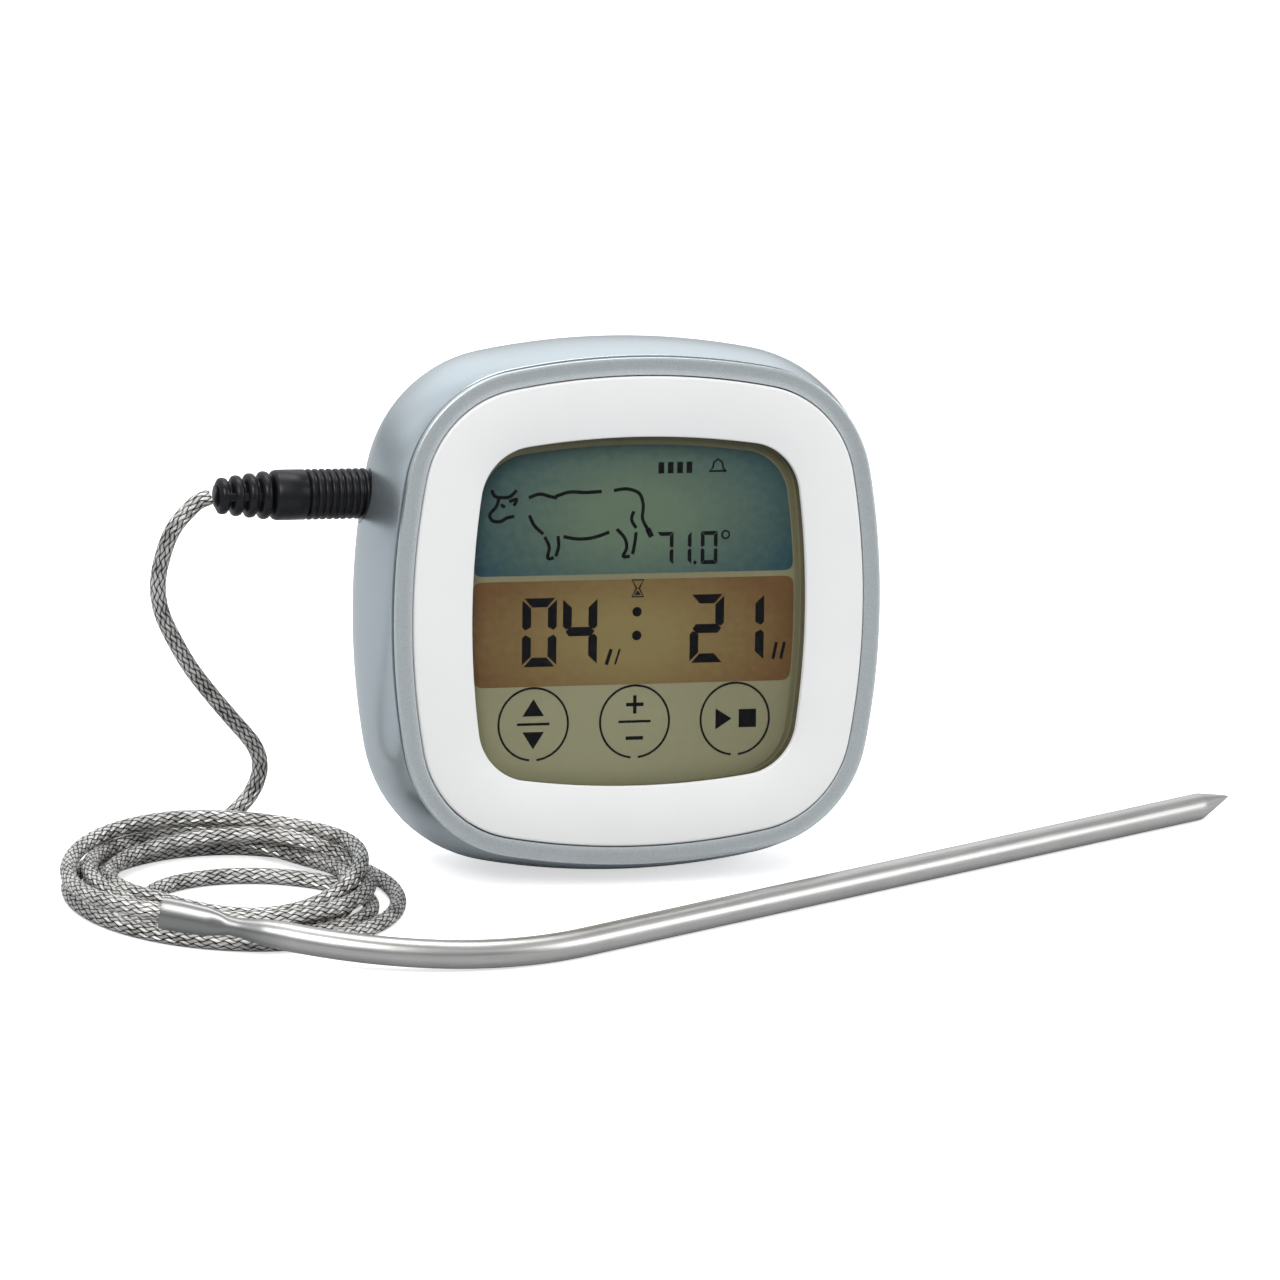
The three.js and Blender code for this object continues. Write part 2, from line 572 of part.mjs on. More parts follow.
function caseScrew(x, z) {
  const seat = screwHeadFloor + GAP;
  const head = barY(x, z, SCREW_HEAD_RADIUS, seat, seat + SCREW_HEAD_HEIGHT, 16);
  const shaft = barY(x, z, SCREW_SHAFT_RADIUS, seat - SCREW_LENGTH, seat + 0.2, 10);
  const driveDepth = SCREW_HEAD_HEIGHT - 0.7;
  const across = box(x - 1.2, x + 1.2, seat + driveDepth, seat + 4, z - 0.3, z + 0.3);
  const upright = box(x - 0.3, x + 0.3, seat + driveDepth, seat + 4, z - 1.2, z + 1.2);
  return head.add(shaft).subtract(across).subtract(upright);
}

function addFastenings() {
  const magnetFront = TOTAL_DEPTH - MAGNET_THICKNESS;
  ['magnet_left', 'magnet_right'].forEach((name, i) => {
    const x = (2 * i - 1) * MAGNET_X;
    add(housing, name, barY(x, MAGNET_Z, MAGNET_RADIUS, magnetFront, TOTAL_DEPTH, 24), looks.nickel);
  });
  screwPlaces.forEach(([x, z], i) => {
    add(housing, `case_screw_${i + 1}`, caseScrew(x, z), looks.nickel);
  });
}

function addSwitch() {
  const bodyBack = TOTAL_DEPTH - SHELL_WALL - GAP;
  const middle = SWITCH_X - SWITCH_TRAVEL / 2;
  const half = (KNOB_WIDTH + SWITCH_TRAVEL) / 2 + GAP;
  const knobFront = bodyBack - 2.2;
  const body = box(middle - half - 0.8, middle + half + 0.8, knobFront - 1.6, bodyBack,
    SWITCH_Z - 2.4, SWITCH_Z + 2.4);
  const channel = box(middle - half, middle + half, knobFront - GAP, TOTAL_DEPTH,
    SWITCH_Z - KNOB_HEIGHT / 2 - GAP, SWITCH_Z + KNOB_HEIGHT / 2 + GAP);
  const knob = box(SWITCH_X - KNOB_WIDTH / 2, SWITCH_X + KNOB_WIDTH / 2, knobFront, TOTAL_DEPTH - 0.2,
    SWITCH_Z - KNOB_HEIGHT / 2, SWITCH_Z + KNOB_HEIGHT / 2);
  add(housing, 'switch_body', body.subtract(channel), looks.darkPlastic);
  add(housing, 'switch_knob', knob, looks.darkPlastic);
}

// ---------------------------------------------------------------- plug

function plugSleeve() {
  const start = PLUG_SEAT_X - GAP;
  const points = [[start, 0]];
  for (let i = 0; i < PLUG_RIBS; i += 1) {
    const x = start - i * PLUG_RIB_PITCH;
    points.push([x - 0.05, PLUG_RADIUS], [x - 0.65, PLUG_RADIUS], [x - 0.85, PLUG_RADIUS - 0.35]);
  }
  const collar = start - PLUG_RIBS * PLUG_RIB_PITCH;
  points.push([collar, PLUG_RADIUS], [collar - PLUG_COLLAR + 0.5, PLUG_RADIUS]);
  points.push([collar - PLUG_COLLAR, PLUG_RADIUS - 0.5], [collar - PLUG_COLLAR, 0]);
  const sleeve = turnedX(points.reverse(), PLUG_DEPTH, PLUG_HEIGHT);
  return sleeve.subtract(barX(PLUG_DEPTH, PLUG_HEIGHT, PIN_CONTACT_RADIUS + GAP, start - 3, 0));
}

const reliefStart = PLUG_SEAT_X - GAP - PLUG_RIBS * PLUG_RIB_PITCH - PLUG_COLLAR - GAP;
const reliefEnd = reliefStart - RELIEF_RING_RADII.length * RELIEF_RING_PITCH;

// Rounded rings on a slimmer core, tied by a web along each side.
function strainRelief() {
  const points = [[reliefStart, 0]];
  RELIEF_RING_RADII.forEach((radius, i) => {
    const x = reliefStart - i * RELIEF_RING_PITCH;
    points.push([x, radius - 1.1], [x - 0.35, radius - 0.35], [x - 0.75, radius]);
    points.push([x - 1.25, radius], [x - 1.65, radius - 0.35], [x - 1.95, radius - 1.1]);
  });
  points.push([reliefEnd, 0]);
  const web = box(reliefEnd + 0.8, reliefStart, PLUG_DEPTH - 2.3, PLUG_DEPTH + 2.3,
    PLUG_HEIGHT - 0.8, PLUG_HEIGHT + 0.8);
  return turnedX(points.reverse(), PLUG_DEPTH, PLUG_HEIGHT).add(web);
}

function ringX(x0, x1, outer, inner) {
  const points = [[x0, inner], [x0, outer], [x1, outer], [x1, inner], [x0, inner]];
  return turnedX(points, PLUG_DEPTH, PLUG_HEIGHT, 16);
}

function addPlug() {
  const sleeveEnd = PLUG_SEAT_X + PIN_SLEEVE_LENGTH;
  const bore = 0.75;
  const insulatorEnd = sleeveEnd + GAP + 0.8;
  const tipStart = insulatorEnd + GAP;
  const tip = [[PLUG_SEAT_X - 1, 0], [PLUG_SEAT_X - 1, bore - 0.35], [tipStart, bore - 0.35],
    [tipStart, PIN_CONTACT_RADIUS], [tipStart + 0.7, PIN_CONTACT_RADIUS], [tipStart + 1.1, 0.95],
    [tipStart + 1.7, PIN_CONTACT_RADIUS], [tipStart + 2.4, 0.5], [tipStart + 2.5, 0]];
  add(housing, 'plug_sleeve', plugSleeve(), looks.blackRubber);
  add(housing, 'strain_relief', strainRelief(), looks.blackRubber);
  add(housing, 'plug_ferrule', ringX(PLUG_SEAT_X - 3, sleeveEnd, PIN_CONTACT_RADIUS, bore),
    looks.brass);
  add(housing, 'plug_insulator', ringX(sleeveEnd + GAP, insulatorEnd, PIN_CONTACT_RADIUS, bore),
    looks.blackRubber);
  add(housing, 'plug_tip', turnedX(tip, PLUG_DEPTH, PLUG_HEIGHT, 16), looks.brass);
}

// ---------------------------------------------------------------- cord and probe

const object = new THREE.Group();
object.add(housing);

// The hanging stretch of the cord, from the strain relief down behind the coil.
const cordRoute = [
  [-59.2, 8.3, 53.0], [-60.6, 8.3, 52.5], [-62.4, 8.4, 50.8], [-64.3, 8.4, 48.3],
  [-65.5, 8.6, 44.6], [-66.0, 8.9, 40.3], [-65.2, 9.3, 36.1], [-63.1, 9.8, 31.9],
  [-60.2, 10.3, 27.3], [-56.5, 10.8, 22.7], [-52.7, 11.2, 18.4], [-49.9, 11.4, 15.1],
  [-48.8, 11.5, 12.3], [-49.2, 11.5, 9.4], [-50.6, 11.5, 6.8], [-53.2, 11.4, 4.3],
];

function coilRing() {
  const round = 1.2;
  const profile = [[COIL_INNER + round, 0], [COIL_OUTER - round, 0], [COIL_OUTER, round],
    [COIL_OUTER, COIL_HEIGHT - round], [COIL_OUTER - round, COIL_HEIGHT],
    [COIL_INNER + round, COIL_HEIGHT], [COIL_INNER, COIL_HEIGHT - round], [COIL_INNER, round],
    [COIL_INNER + round, 0]];
  const geometry = new THREE.LatheGeometry(profile.map(([r, h]) => new THREE.Vector2(r, h)), 32);
  geometry.rotateX(Math.PI / 2);
  geometry.scale(1, COIL_SQUASH, 1);
  geometry.translate(COIL_CENTRE[0], COIL_CENTRE[1], 0);
  return solid(geometry);
}

// The probe lies on the ground plane, bends once, and its socket end rests on the coil.
const shaftHeading = THREE.MathUtils.degToRad(24.2);
const bendEnd = new THREE.Vector3(-16, -41.1, PROBE_RADIUS);
const shaftDirection = new THREE.Vector3(Math.cos(shaftHeading), Math.sin(shaftHeading), 0);
const tipBase = bendEnd.clone().addScaledVector(shaftDirection, 122);
const socketEnd = new THREE.Vector3(-74, -31.2, 5.1);
const bendStart = new THREE.Vector3(-57.6, -39.6, 3.7);
const handleDirection = bendStart.clone().sub(socketEnd).normalize();
const BEND_PULL = 15;
const SOCKET_LENGTH = 9;
const PROBE_STEPS = 44;

function probePath(from, to) {
  const path = new THREE.CurvePath();
  path.add(new THREE.LineCurve3(from, bendStart));
  path.add(new THREE.CubicBezierCurve3(bendStart,
    bendStart.clone().addScaledVector(handleDirection, BEND_PULL),
    bendEnd.clone().addScaledVector(shaftDirection, -BEND_PULL), bendEnd));
  path.add(new THREE.LineCurve3(bendEnd, to));
  return path;
}

// Width and thickness of the flattened socket end, by distance from its mouth.
function flattening(distance) {
  const stations = [[0, 1.34, 0.72], [SOCKET_LENGTH - 3, 1.26, 0.68], [SOCKET_LENGTH, 0.95, 0.62],
    [SOCKET_LENGTH + 3, 1, 0.8], [SOCKET_LENGTH + 6, 1, 1]];
  for (let i = 1; i < stations.length; i += 1) {
    const [before, wideBefore, thinBefore] = stations[i - 1];
    const [after, wideAfter, thinAfter] = stations[i];
    if (distance <= after) {
      const share = Math.max(0, distance - before) / (after - before);
      return [wideBefore + share * (wideAfter - wideBefore), thinBefore + share * (thinAfter - thinBefore)];
    }
  }
  return [1, 1];
}

function flatten(geometry) {
  const side = new THREE.Vector3().crossVectors(handleDirection, new THREE.Vector3(0, 0, 1)).normalize();
  const over = new THREE.Vector3().crossVectors(side, handleDirection);
  const position = geometry.getAttribute('position');
  const point = new THREE.Vector3();
  for (let i = 0; i < position.count; i += 1) {
    point.fromBufferAttribute(position, i).sub(socketEnd);
    const along = point.dot(handleDirection);
    if (along < SOCKET_LENGTH + 6) {
      const [wide, thin] = flattening(along);
      const across = point.dot(side) * wide;
      const up = point.dot(over) * thin;
      point.copy(socketEnd).addScaledVector(handleDirection, along);
      point.addScaledVector(side, across).addScaledVector(over, up);
      position.setXYZ(i, point.x, point.y, point.z);
    }
  }
  return geometry;
}

function probeTube() {
  const outer = solid(flatten(tubeAlong(probePath(socketEnd, tipBase), PROBE_RADIUS, 12, PROBE_STEPS)));
  const boreStart = socketEnd.clone().addScaledVector(handleDirection, -1);
  const boreEnd = tipBase.clone().addScaledVector(shaftDirection, -1);
  const bore = solid(flatten(tubeAlong(probePath(boreStart, boreEnd), PROBE_BORE, 8, PROBE_STEPS)));
  const point = new THREE.ConeGeometry(PROBE_RADIUS * 0.96, PROBE_POINT, 12);
  point.translate(0, PROBE_POINT / 2 - 0.4, 0);
  point.rotateZ(-Math.PI / 2);
  point.rotateZ(shaftHeading);
  point.translate(tipBase.x, tipBase.y, tipBase.z);
  return outer.subtract(bore).add(solid(point));
}

function probeBead() {
  const geometry = new THREE.CapsuleGeometry(PROBE_BORE - 0.45, 3.5, 4, 12);
  geometry.rotateZ(Math.PI / 2);
  geometry.rotateZ(shaftHeading);
  const place = tipBase.clone().addScaledVector(shaftDirection, -4.5);
  geometry.translate(place.x, place.y, place.z);
  return solid(geometry);
}

function addProbeLead() {
  const route = new THREE.CatmullRomCurve3(cordRoute.map((p) => new THREE.Vector3(...p)), false,
    'centripetal');
  const leadStart = socketEnd.clone().addScaledVector(handleDirection, 1);
  const leadEnd = tipBase.clone().addScaledVector(shaftDirection, -8);
  const tube = probeTube();
  const clearance = solid(flatten(tubeAlong(probePath(socketEnd.clone()
    .addScaledVector(handleDirection, -GAP), tipBase), PROBE_RADIUS + GAP, 12, PROBE_STEPS)));
  add(object, 'cord', solid(tubeAlong(route, CORD_RADIUS, 8, 26)), looks.braid);
  add(object, 'cord_coil', coilRing().subtract(clearance), looks.braid);
  add(object, 'probe_tube', tube, looks.steel);
  add(object, 'probe_bead', probeBead(), looks.epoxy);
  add(object, 'sensor_lead', solid(tubeAlong(probePath(leadStart, leadEnd), 0.5, 6, 30)),
    looks.whitePlastic);
}

add(housing, 'rear_shell', rearShell(), looks.silverShell);
addDisplay();
addElectronics();
addBatteries();
addStand();
addFastenings();
addSwitch();
addPlug();
addProbeLead();

export default object;
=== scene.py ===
import math

import bmesh
import bpy
import numpy as np
from mathutils import Matrix, Vector


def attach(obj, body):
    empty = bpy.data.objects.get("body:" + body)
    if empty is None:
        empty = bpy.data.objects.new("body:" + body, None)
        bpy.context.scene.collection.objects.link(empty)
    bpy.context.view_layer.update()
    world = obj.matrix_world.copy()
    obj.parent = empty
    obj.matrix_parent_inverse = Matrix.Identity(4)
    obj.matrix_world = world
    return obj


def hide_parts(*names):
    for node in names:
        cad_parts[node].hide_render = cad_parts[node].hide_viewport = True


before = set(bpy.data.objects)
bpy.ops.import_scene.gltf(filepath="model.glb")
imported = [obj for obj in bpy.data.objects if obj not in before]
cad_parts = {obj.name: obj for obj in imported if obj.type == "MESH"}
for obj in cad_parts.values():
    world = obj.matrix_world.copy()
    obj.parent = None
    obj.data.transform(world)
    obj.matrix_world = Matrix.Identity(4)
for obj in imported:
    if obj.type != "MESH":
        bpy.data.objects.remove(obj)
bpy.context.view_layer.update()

MM = 0.001
LEAN = math.radians(10)
FACE_CENTRE = Vector((0, -8.7836, 39.6998))

# The housing's own frame, in mm: x to its right, y back from the face, z up.
HOUSING = (Matrix.Scale(MM, 4) @ Matrix.Translation(FACE_CENTRE)
           @ Matrix.Rotation(-LEAN, 4, "X"))
ROW = Matrix.Scale(MM, 4)


# --- camera

def make_camera():
    right = Vector((0.950, -0.3048, 0.0677)).normalized()
    back = right.cross(Vector((0.0241, 0.2877, 0.9576))).normalized()
    up = back.cross(right)
    face = FACE_CENTRE * MM
    distance, aside, below = 1.1315, 0.00014, 0.00396
    place = face + back * distance - right * aside - up * below
    data = bpy.data.cameras.new("camera")
    data.lens = 225
    data.sensor_width = 36
    data.clip_start = 0.05
    data.clip_end = 20
    camera = bpy.data.objects.new("camera", data)
    axes = Matrix((right, up, back)).transposed().to_4x4()
    camera.matrix_world = Matrix.Translation(place) @ axes
    bpy.context.scene.collection.objects.link(camera)
    bpy.context.scene.camera = camera


make_camera()


# --- mesh helpers

def smooth_faces(bm, sharp):
    """Smooth shading, apart from edges sharper than the angle."""
    limit = math.radians(sharp)
    for face in bm.faces:
        face.smooth = True
    for edge in bm.edges:
        edge.smooth = edge.is_manifold and edge.calc_face_angle(0) < limit


def new_object(name, bm, sharp=35):
    bmesh.ops.recalc_face_normals(bm, faces=bm.faces[:])
    smooth_faces(bm, sharp)
    mesh = bpy.data.meshes.new(name)
    bm.to_mesh(mesh)
    bm.free()
    obj = bpy.data.objects.new(name, mesh)
    bpy.context.scene.collection.objects.link(obj)
    return obj


def add_rings(bm, rings, loop=False):
    """Joins closed rings of points with quads, and closes both ends or makes a loop."""
    rows = [[bm.verts.new(p) for p in ring] for ring in rings]
    pairs = list(zip(rows, rows[1:]))
    if loop:
        pairs.append((rows[-1], rows[0]))
    for a, b in pairs:
        n = len(a)
        for i in range(n):
            bm.faces.new((a[i], a[(i + 1) % n], b[(i + 1) % n], b[i]))
    if not loop:
        bm.faces.new(rows[0])
        bm.faces.new(rows[-1])
    return rows


def wrap_uv(bm, rows, marks):
    """A UV map for a round piece: u is the mark of each ring, v goes once round."""
    uv = bm.loops.layers.uv.new("along")
    sides = len(rows[0])
    where = {v: (mark, i) for mark, row in zip(marks, rows) for i, v in enumerate(row)}
    for face in bm.faces:
        if len(face.verts) != 4:
            continue
        wraps = {where[v][1] for v in face.verts} == {0, sides - 1}
        for corner in face.loops:
            mark, i = where[corner.vert]
            corner[uv].uv = (mark, (sides if wraps and i == 0 else i) / sides)


def ringed(name, rings, sharp=35, loop=False):
    bm = bmesh.new()
    add_rings(bm, rings, loop)
    return new_object(name, bm, sharp)


def arc(cx, cz, radius, start, end, steps):
    """Points on an arc, without its last one."""
    made = []
    for i in range(steps):
        angle = start + (end - start) * i / steps
        made.append((cx + radius * math.cos(angle), cz + radius * math.sin(angle)))
    return made


def soft_square(half, side_radius, corner_radius, sides=20, corners=16):
    """A square outline with bulging sides. Sides and corners say how many points each has."""
    k = half - side_radius
    reach = side_radius - corner_radius
    centre = (k + math.sqrt(2 * reach * reach - k * k)) / 2
    tilt = math.atan2(centre - k, centre)
    quarter = math.pi / 2
    made = []
    for i in range(4):
        turn = i * quarter
        c, s = math.cos(turn), math.sin(turn)
        start, end = turn + tilt - quarter, turn + quarter - tilt
        made += arc(k * c, k * s, side_radius, start, end, sides)
        x, z = centre * (c - s), centre * (s + c)
        made += arc(x, z, corner_radius, end, turn + tilt, corners)
    return made


def face_outline(half, **detail):
    grow = half - 33.4
    return soft_square(half, 104 + grow, 15.4 + grow, **detail)


def window_outline(half, **detail):
    grow = half - 24.85
    return soft_square(half, 121 + grow, 8 + grow, **detail)


def at_depth(outline, y):
    return [(x, y, z) for x, z in outline]


def scaled_outline(half, **detail):
    scale = half / 38.2
    return [(x * scale, z * scale) for x, z in face_outline(38.2, **detail)]


def rounded_rectangle(x0, x1, z0, z1, radius, steps=6):
    quarter = math.pi / 2
    radius = max(radius, 1e-4)
    made = []
    corners = [(x1 - radius, z1 - radius), (x0 + radius, z1 - radius),
               (x0 + radius, z0 + radius), (x1 - radius, z0 + radius)]
    for i, (x, z) in enumerate(corners):
        end = (i + 1) * quarter
        made += arc(x, z, radius, i * quarter, end, steps)
        made.append((x + radius * math.cos(end), z + radius * math.sin(end)))
    return made


def slab_rings(x0, x1, z0, z1, y0, y1, corner, front=0.0, back=0.0):
    """Rings of a plate with rounded corners and rounded front and back edges."""
    rings = []
    for edge, depth, sign in [(front, y0, 1), (back, y1, -1)]:
        rows = []
        for degrees in ([0, 22.5, 45, 67.5, 90] if edge > 0 else [90]):
            a = math.radians(degrees)
            inset = edge * (1 - math.sin(a))
            y = depth + sign * edge * (1 - math.cos(a))
            shape = rounded_rectangle(x0 + inset, x1 - inset, z0 + inset, z1 - inset,
                                      corner - inset)
            rows.append(at_depth(shape, y))
        rings += rows[::sign]
    return rings


def rounded_slab(name, *args, **kwargs):
    return ringed(name, slab_rings(*args, **kwargs), sharp=50)


def turned(name, profile, axis, place, segments=64, sharp=50):
    """A solid turned about X or Y through a place. The profile is [distance, radius]."""
    rings = []
    for along, radius in profile:
        circle = arc(*place, radius, 0, 2 * math.pi, segments)
        rings.append([(along, *p) for p in circle] if axis == "X" else at_depth(circle, along))
    return ringed(name, rings, sharp)


def carve(target, cutter, operation="DIFFERENCE"):
    """Cuts the cutter out of target, or adds it, and removes the cutter."""
    modifier = target.modifiers.new("carve", "BOOLEAN")
    modifier.operation = operation
    modifier.solver = "EXACT"
    modifier.object = cutter
    bpy.context.view_layer.update()
    graph = bpy.context.evaluated_depsgraph_get()
    made = bpy.data.meshes.new_from_object(target.evaluated_get(graph))
    target.modifiers.clear()
    target.data = made
    bpy.data.objects.remove(cutter)


def resmooth(obj, sharp):
    bm = bmesh.new()
    bm.from_mesh(obj.data)
    smooth_faces(bm, sharp)
    bm.to_mesh(obj.data)
    bm.free()


def join(target, other):
    """Puts the mesh of other into target."""
    bm = bmesh.new()
    bm.from_mesh(target.data)
    bm.from_mesh(other.data)
    bpy.data.objects.remove(other)
    bm.to_mesh(target.data)
    bm.free()


def finish_piece(obj, matrix, body, look, slot, *nodes):
    """Says where a piece goes, its look, what it moves with and what it replaces."""
    obj.data.transform(matrix)
    obj.data.materials.clear()
    obj.data.materials.append(look)
    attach(obj, body)
    if nodes:
        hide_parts(*nodes)
    return obj


# --- probe's path

PROBE_RADIUS = 2.0
SHAFT_HEADING = math.radians(24.2)
BEND_END = np.array([-16, -41.1, PROBE_RADIUS])
SHAFT_DIRECTION = np.array([math.cos(SHAFT_HEADING), math.sin(SHAFT_HEADING), 0])
TIP_BASE = BEND_END + 122 * SHAFT_DIRECTION
SOCKET_END = np.array([-74, -31.2, 5.1])
BEND_START = np.array([-57.6, -39.6, 3.7])
HANDLE_DIRECTION = (BEND_START - SOCKET_END) / np.linalg.norm(BEND_START - SOCKET_END)
BEND_PULL = 15
POINT_LENGTH = 6.55


def probe_path(step):
    """Points every step mm from the socket's mouth to the base of the point."""
    t = np.linspace(0, 1, 200)[:, None]
    first = SOCKET_END + (BEND_START - SOCKET_END) * t
    pull_out = BEND_START + HANDLE_DIRECTION * BEND_PULL
    pull_in = BEND_END - SHAFT_DIRECTION * BEND_PULL
    bend = ((1 - t) ** 3 * BEND_START + 3 * (1 - t) ** 2 * t * pull_out
            + 3 * (1 - t) * t ** 2 * pull_in + t ** 3 * BEND_END)
    last = BEND_END + (TIP_BASE - BEND_END) * t
    return evenly(np.vstack([first, bend[1:], last[1:]]), step)


def distances(points):
    """How far along a line each of its points is."""
    steps = np.linalg.norm(np.diff(points, axis=0), axis=1)
    return np.concatenate([[0], np.cumsum(steps)])


def directions(points):
    ahead = np.gradient(points, axis=0)
    return ahead / np.linalg.norm(ahead, axis=1)[:, None]


def evenly(points, step):
    """The same line with points about every step mm."""
    along = distances(points)
    count = max(2, int(round(along[-1] / step)) + 1)
    places = np.linspace(0, along[-1], count)
    return np.stack([np.interp(places, along, points[:, i]) for i in range(3)], axis=1)


# --- the cord's route

CORD_RADIUS = 1.15
COIL_CENTRE = np.array([-58.2, -12.4])
CORD_ROUTE = [
    [-59.2, 8.3, 53.0], [-60.6, 8.3, 52.5], [-62.4, 8.4, 50.8], [-64.3, 8.4, 48.3],
    [-65.5, 8.6, 44.6], [-66.0, 8.9, 40.3], [-65.2, 9.3, 36.1], [-63.1, 9.8, 31.9],
    [-60.2, 10.3, 27.3], [-56.5, 10.8, 22.7], [-52.7, 11.2, 18.4], [-49.9, 11.4, 15.1],
    [-48.8, 11.5, 12.3], [-49.2, 11.5, 9.4], [-50.6, 11.5, 6.8], [-53.2, 11.4, 4.3],
]
# An ellipse for each turn: half width, half depth, where its middle is, and its height.
COIL_TURNS = [
    (24.5, 21.9, 0.1, 0.1, 1.15), (22.3, 19.6, 0.1, 0.3, 1.15),
    (17.6, 13.6, 0.1, -5.4, 1.15), (20.7, 19.8, -0.7, 1.8, 3.3),
    (19.6, 17.0, -0.5, 2.4, 3.4), (22.9, 20.4, -0.9, 0.4, 4.7),
]


def mixed(a, b, start, end, t):
    """What lies between a and b, for a time t from start to end."""
    return ((end - t) * a + (t - start) * b) / (end - start)


def smooth_route(points, per_span=24):
    """A centripetal Catmull-Rom curve through the points."""
    p = [np.array(x, float) for x in points]
    p = [2 * p[0] - p[1]] + p + [2 * p[-1] - p[-2]]
    made = []
    for i in range(1, len(p) - 2):
        a, b, c, d = p[i - 1:i + 3]
        k1 = max(np.linalg.norm(b - a), 1e-6) ** 0.5
        k2 = k1 + max(np.linalg.norm(c - b), 1e-6) ** 0.5
        k3 = k2 + max(np.linalg.norm(d - c), 1e-6) ** 0.5
        for t in np.linspace(k1, k2, per_span, endpoint=False):
            middle = mixed(b, c, k1, k2, t)
            first = mixed(mixed(a, b, 0.0, k1, t), middle, 0.0, k2, t)
            second = mixed(middle, mixed(c, d, k2, k3, t), k1, k3, t)
            made.append(mixed(first, second, k1, k2, t))
    made.append(p[-2])
    return np.array(made)


def wound_turns(first=118.0, last=202.0 + 5 * 360, every=8.0):
    """The turns as they are wound by hand, before they settle."""
    made = []
    seam, change = 72, 0.65     # Where each turn begins, and when it passes into the next.
    count = int((last - first) / every)
    for i in range(count + 1):
        degrees = first + (last - first) * i / count
        turn = (degrees - seam) / 360
        k = min(int(turn), len(COIL_TURNS) - 1)
        blend = min(1.0, max(0.0, (turn - k - change) / (1 - change)))
        blend = blend * blend * (3 - 2 * blend)
        now = np.array(COIL_TURNS[k])
        after = np.array(COIL_TURNS[min(k + 1, len(COIL_TURNS) - 1)])
        wide, deep, x, y, z = now * (1 - blend) + after * blend
        angle = math.radians(degrees)
        made.append([COIL_CENTRE[0] + x + wide * math.cos(angle),
                     COIL_CENTRE[1] + y + deep * math.sin(angle), z])
    return np.array(made)


def near_pairs(p, reach, apart=7):
    """Pairs of points that are close in space, but more than a few points apart."""
    index = np.arange(len(p))
    gap = p[:, None, :] - p[None, :, :]
    near = (gap ** 2).sum(2) < reach * reach
    near &= index[None, :] - index[:, None] > apart
    return np.nonzero(near)


def settle(points, fixed_start, fixed_end, rounds=240):
    """Lays the turns beside and on each other, on the ground and clear of the probe."""
    p = points.copy()
    free = np.ones(len(p), bool)
    free[:fixed_start] = False
    free[len(p) - fixed_end:] = False
    index = np.arange(len(p))
    clear = 2 * CORD_RADIUS + 0.08
    wide = PROBE_RADIUS + CORD_RADIUS + 0.15
    probe = probe_path(1.0)[:70]
    in_socket = 18      # Points at the cord's end, near or in the probe's socket.
    sink, stiffness, evening = 0.008, 0.03, 0.2     # For each round.
    held = p.copy()
    for step in range(rounds):
        p[free, 2] -= sink
        if step % 8 == 0:
            left, right = near_pairs(p, 4.5)
        gap = p[left] - p[right]
        far = np.linalg.norm(gap, axis=1) + 1e-9
        push = gap * (np.maximum(clear - far, 0) / far * 0.5)[:, None]
        moved = np.zeros_like(p)
        count = np.zeros(len(p))
        hit = far < clear
        np.add.at(moved, left[hit], push[hit])
        np.add.at(moved, right[hit], -push[hit])
        np.add.at(count, left[hit], 1)
        np.add.at(count, right[hit], 1)
        p += moved / np.maximum(count, 1)[:, None] * 1.2
        off = p[:, None, :] - probe[None, :, :]
        far = np.sqrt((off ** 2).sum(2))
        nearest = far.argmin(1)
        close = far[index, nearest]
        hit = (close < wide) & (index < len(p) - in_socket)
        away = off[index, nearest] / close[:, None]
        p[hit] += away[hit] * (wide - close[hit])[:, None]
        for k in (1, 3, 6):
            bend = p[:-4 * k] - 4 * p[k:-3 * k] + 6 * p[2 * k:-2 * k] - 4 * p[3 * k:-k] + p[4 * k:]
            p[2 * k:-2 * k] -= bend * stiffness
        ahead = p[2:] - p[:-2]
        ahead /= np.linalg.norm(ahead, axis=1)[:, None]
        uneven = ((p[:-2] + p[2:] - 2 * p[1:-1]) * ahead).sum(1)
        p[1:-1] += ahead * uneven[:, None] * evening
        p[:, 2] = np.maximum(p[:, 2], CORD_RADIUS)
        p[~free] = held[~free]
    return p


def cord_line():
    """The whole cord's middle line, from the plug's relief to inside the socket."""
    hanging = smooth_route(CORD_ROUTE)
    floor = [[-57.0, 10.9, 2.4], [-61.5, 9.9, 1.5]]
    lead = [[-78.6, -25.8, 5.4]]
    lead += [SOCKET_END + HANDLE_DIRECTION * d for d in (-2.5, 0.0, 3.0, 5.0)]
    joined = np.vstack([hanging[::12], floor, wound_turns(), lead])
    line = evenly(smooth_route(joined, 6), 1.0)
    return settle(line, 60, 9)


CORD_LINE = cord_line()


def frames_along(points):
    """Sideways and over directions at each point of a line, without twist."""
    ahead = directions(points)
    side = np.cross(ahead[0], [0, 0, 1.0])
    if np.linalg.norm(side) < 1e-3:
        side = np.array([1.0, 0, 0])
    sides = []
    for direction in ahead:
        side = side - direction * side.dot(direction)
        side = side / np.linalg.norm(side)
        sides.append(side)
    sides = np.array(sides)
    return sides, np.cross(sides, ahead)


